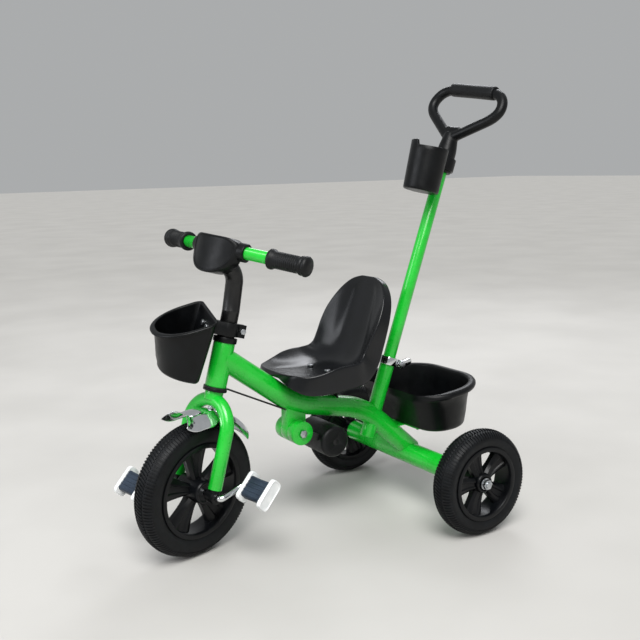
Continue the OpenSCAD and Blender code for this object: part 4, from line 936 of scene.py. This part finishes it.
def cover_line(scale):
    """Outline of the handlebar cover: a flat top with round corners, a bowed foot."""
    w, low, high, power, steps = COVER_HALF_W, COVER_LOW, COVER_HIGH, 0.95, 40
    drop = (1 - scale) * -9
    made = [(w * math.copysign(abs(math.cos(a)) ** power, math.cos(a)), -low * abs(math.sin(a)) ** power)
            for a in (math.pi * i / steps for i in range(steps + 1))]
    head = [(-w, 0), (-w, high - 8), (-w + 16, high), (w - 16, high), (w, high - 8), (w, 0)]
    made += soften(head, 9, 5, False)[1:-1]
    return [(x * scale, y * scale + drop) for x, y in made]


def handlebar_cover():
    def bow(y):
        return COVER_FRONT - COVER_BOW_R + math.sqrt(COVER_BOW_R ** 2 - y ** 2)

    rings = [[(x, y, z) for y, z in cover_line(scale)] for scale, x in ((0.97, -15), (1.0, -13.5))]
    # the bowed front, its raised border and the sunk panel
    rings += [[(bow(y) + lift, y, z) for y, z in cover_line(scale)]
              for scale, lift in ((1.0, -3), (0.985, -1), (0.955, -0.1), (0.90, -0.1), (0.875, -1.7),
                                  (0.6, -1.7), (0.3, -1.7))]
    parts = [loft(rings)]
    collar = lathe(soften([(BAR_HOLD_R, 30), (16.5, 30), (16.5, 65), (BAR_HOLD_R, 65)], 1.6, 3), 48)
    for side in (1, -1):
        parts.append(shifted(collar, turn(side * BAR_SWEEP, "Z") @ turn(-side * 90, "X")))
    mesh = shell(*join(*parts), BAR)
    take("handlebar_cover_moulding", mesh, PANEL_PP, "handlebar_cover", sharp=45)


GUARD_HALF = 38
GUARD_CROWN_R = 42
GUARD_R = 148.5
GUARD_FLARE_R = 22
GUARD_FLARE = 46
GUARD_FRONT = 69
GUARD_REAR = 126
GUARD_T = 1.4
GUARD_WAIST = 6
GUARD_BEAD = 1.2


def mudguard():
    verts = []
    middle = GUARD_R + GUARD_FLARE_R
    front = math.radians(GUARD_FRONT)
    across = [i / 12 for i in range(-12, 13)]
    # a lip flared up at the front, then an arch that narrows between the fork's legs
    stations = [(True, GUARD_FLARE - GUARD_FLARE * i / 12) for i in range(12)]
    stations += [(False, mixed(GUARD_FRONT, GUARD_REAR, i / 40)) for i in range(41)]
    for flared, angle in stations:
        a = math.radians(angle)
        for s in across:
            notch = 0 if flared else GUARD_WAIST * math.exp(-((angle - 90) / 5.0) ** 2)
            y = (GUARD_HALF - notch) * s
            at = GUARD_R - GUARD_CROWN_R + math.sqrt(GUARD_CROWN_R ** 2 - y ** 2)
            at += GUARD_BEAD * (1 - step(0.06, 0.14, abs(abs(s) - 0.42)))
            if flared:
                x, z = middle - (middle - at) * math.cos(a), (at - middle) * math.sin(a)
                x, z = (x * math.cos(front) - z * math.sin(front),
                        x * math.sin(front) + z * math.cos(front))
            else:
                x, z = at * math.cos(a), at * math.sin(a)
            verts.append((x, y, z))
    n = len(across)
    faces = [(i * n + j, i * n + j + 1, (i + 1) * n + j + 1, (i + 1) * n + j)
             for i in range(len(stations) - 1) for j in range(n - 1)]
    mesh = shell(verts, faces, STEERED, mend=False)
    mesh = finished(mesh, ("SOLIDIFY", {"thickness": GUARD_T * MM, "offset": -1.0}),
                    ("SUBSURF", {"levels": 1, "render_levels": 1}))
    take("mudguard_pressing", mesh, CHROME, "mudguard", sharp=60)


# Half sizes of a pedal's block, of one of its bars and of its end caps
PEDAL_CORE = (10.4, 20.5, 23)
PEDAL_RIB = (11.6, 1.2)
PEDAL_CAP = (13, 28.5)
PEDAL_RIB_PITCH = 8


def oblong(half_x, half_z, reach, steps):
    """A rectangle about the origin, with its corners rounded."""
    corners = [(-half_x, -half_z), (half_x, -half_z), (half_x, half_z), (-half_x, half_z)]
    return soften(corners, reach, steps)


def drawn_in(x, most, k):
    """A distance from the middle, moved inwards as k goes from 1 to 0."""
    return x - (1 - k) * math.copysign(min(abs(x), most), x) * 1.2


def pedals():
    rest = math.radians(CRANK_REST)
    arm = Vector((math.cos(rest), 0, math.sin(rest))) * CRANK_LEN
    middle = PEDAL_IN + PEDAL_LEN / 2
    half_x, half_z, half_y = PEDAL_CORE
    core = oblong(half_x, half_z, 5, 4)
    block = loft([[(x * k, y, z * k) for x, z in core]
                  for y, k in ((-half_y, 1), (-12, 0.98), (0, 0.97), (12, 0.98), (half_y, 1))])
    bar = loft([[(x, y, z) for x, z in oblong(*PEDAL_RIB, 0.8, 2)] for y in (-half_y, half_y)])
    rim = oblong(*PEDAL_CAP, 9, 5)
    rows = [(22.9, 0.97), (23.3, 1), (30.2, 1), (31, 0.95), (31, 0.82), (29.8, 0.76), (29.8, 0.3)]
    caps = join(*(loft([[(drawn_in(x, 6.5, k), y * end, drawn_in(z, 12.5, k)) for x, z in rim]
                        for y, k in rows]) for end in (1, -1)))
    for side, name in ((1, "left_pedal"), (-1, "right_pedal")):
        at = arm * side + Vector((0, middle * side, 0))
        place = STEERED @ Matrix.Translation(at) @ turn(-PEDAL_REST, "Y")
        take(name + "_block", shell(*block, place), SLATE_PP, name, sharp=40)
        first = shifted(bar, move(0, 0, -2 * PEDAL_RIB_PITCH))
        mesh = repeated(first, place, SLATE_PP, 5, step=(0, 0, PEDAL_RIB_PITCH))
        take(name + "_treads", mesh, SLATE_PP, body=body_of(name), sharp=40)
        mesh = shell(*caps, place)
        take(name + "_caps_moulding", mesh, WHITE_ABS, name + "_caps", sharp=40)


# Push bar

RING_TUBE_R = 10.6
SLEEVE_HALF = 60
CUP_BORE_R = 33.5
CUP_FOOT_R = 36
CUP_FLARE = 2.5
CUP_H = 91
CUP_FLOOR = 3.0
CUP_RIM = 87.5
CUP_EAR_AT = -40
CUP_EAR_H = 10.5
CUP_RIM_RISE = 3.2
CLIP_R = (20.05, 24)
CLIP_SPAN = (510, 536)


def push_handle():
    loop = soften([(0, 3, -7), (0, RING_HALF_W, RING_H * 0.55), (0, RING_HALF_W * 0.8, RING_H),
                   (0, -RING_HALF_W * 0.8, RING_H), (0, -RING_HALF_W, RING_H * 0.55), (0, -3, -7)],
                  [4, 34, 36, 36, 34, 4], 12)
    ring = shifted(sweep(loop, [RING_TUBE_R] * len(loop), 28, closed=True), RING)
    fork = [(0, -17, 13), (0, -8, 10), (0, 0, 9), (0, 8, 10), (0, 17, 13)]
    web = shifted(sweep(fork, [8, 9.5, 10, 9.5, 8], 20), RING)
    lean = [(0, 0, NECK_UP + rise) for rise in (0, 1.2, 46, 60, 72, NECK_LEN + 4)]
    neck = shifted(sweep(lean, [19.0, 20, 20, 18, 16, 13.5], 40), POLE)
    mesh = shell(*join(ring, web, neck), Matrix.Identity(4))
    mesh = finished(mesh, ("REMESH", {"mode": "VOXEL", "voxel_size": 1.5 * MM}),
                    ("SMOOTH", {"factor": 0.5, "iterations": 16}))
    take("push_handle_moulding", mesh, PANEL_PP, "push_handle", sharp=80)
    end = [(10.4, 0), (12.4, 0), (13.4, 1), (14, 3.5), (14.0, 12)]
    line = [(r, inset - SLEEVE_HALF) for r, inset in end] + [(13.7, 0)]
    line += [(r, SLEEVE_HALF - inset) for r, inset in end[::-1]]
    mesh = shell(*lathe(line, 56), RING @ move(0, 0, RING_H) @ ALONG_Y)
    take("handle_sleeve_foam", mesh, PVC, "handle_sleeve", sharp=60)


def cup_holder():
    steps = 120
    angles = [math.tau * i / steps for i in range(steps)]

    def top(a):
        """Height of the rim: a tall ear at the front, a dip beside it, a slow rise to the pole."""
        away = abs((math.degrees(a) - CUP_EAR_AT + 180) % 360 - 180)
        ear = CUP_EAR_H * (1 - step(26, 36, away))
        return CUP_RIM + ear + CUP_RIM_RISE * step(60, 170, away)

    def wall(share_up, out, down=0.0):
        ring = []
        for a in angles:
            z = mixed(CUP_FLOOR, top(a), share_up) - down
            r = CUP_FOOT_R + CUP_FLARE * z / CUP_H if out else CUP_BORE_R
            ring.append((r * math.cos(a), r * math.sin(a), z))
        return ring

    def disc(r, z):
        return [(r * math.cos(a), r * math.sin(a), z) for a in angles]

    rings = [disc(6, 0), disc(30, 0), disc(34, 0.6), disc(35.6, 2), disc(36.1, 4)]
    rings += [wall(t, True) for t in (0.1, 0.3, 0.5, 0.7, 0.9)] + [wall(1, True, 1.2)]
    rings += [[(x * 0.985, y * 0.985, z * 0.985 + 1.0) for x, y, z in wall(1, True)]]
    rings += [wall(1, False, -0.4), wall(1, False, 1.4)]
    rings += [wall(t, False) for t in (0.9, 0.6, 0.3, 0.08)]
    rings += [disc(33.2, 4), disc(31, 3.1), disc(6, CUP_FLOOR)]
    (low, high), (clip_in, clip_out) = CLIP_SPAN, CLIP_R
    band = [(clip_in, low), (clip_out, low), (clip_out, high), (clip_in, high)]
    clip = lathe(soften(band, 1.5, 3), 64)
    mesh = shell(*join(shifted(loft(rings), CUP), shifted(clip, POLE)), Matrix.Identity(4))
    take("cup_holder_moulding", mesh, PANEL_PP, "cup_holder", sharp=45)


# Making the trike

def solids():
    for node in ("head_tube", "push_bar_socket", "fork", "handlebar", "push_pole"):
        eased(node, ENAMEL, 0.4)
    for node in ("tub_bracket", "footrest_bracket", "footrest_barrel"):
        eased(node, ENAMEL, 1.0)
    for node in ("seat_bracket", "stop_plate", "stem", "footrest_arm"):
        eased(node, BLACK_ENAMEL, 0.6)
    for node in ("headset_lower", "headset_upper", "axle_bushings", "fork_bearings", "basket_clamp"):
        eased(node, PANEL_PP, 1.0)
    eased("foot_roller", PVC, 0.6)
    for node in ("clamp_collar", "clamp_lever", "crank"):
        eased(node, CHROME, 0.7)
    for node in ("footrest_pin", "seat_screws", "tub_screws", "rear_axle", "rear_axle_nuts", "clamp_bolt",
                 "mudguard_bolt", "clamp_screws", "neck_screw"):
        eased(node, ZINC, 0.5)


camera()
floor()
studio()
solids()
frame_tubes()
wheels()
seat()
front_basket()
rear_tub()
grips()
handlebar_cover()
mudguard()
pedals()
push_handle()
cup_holder()
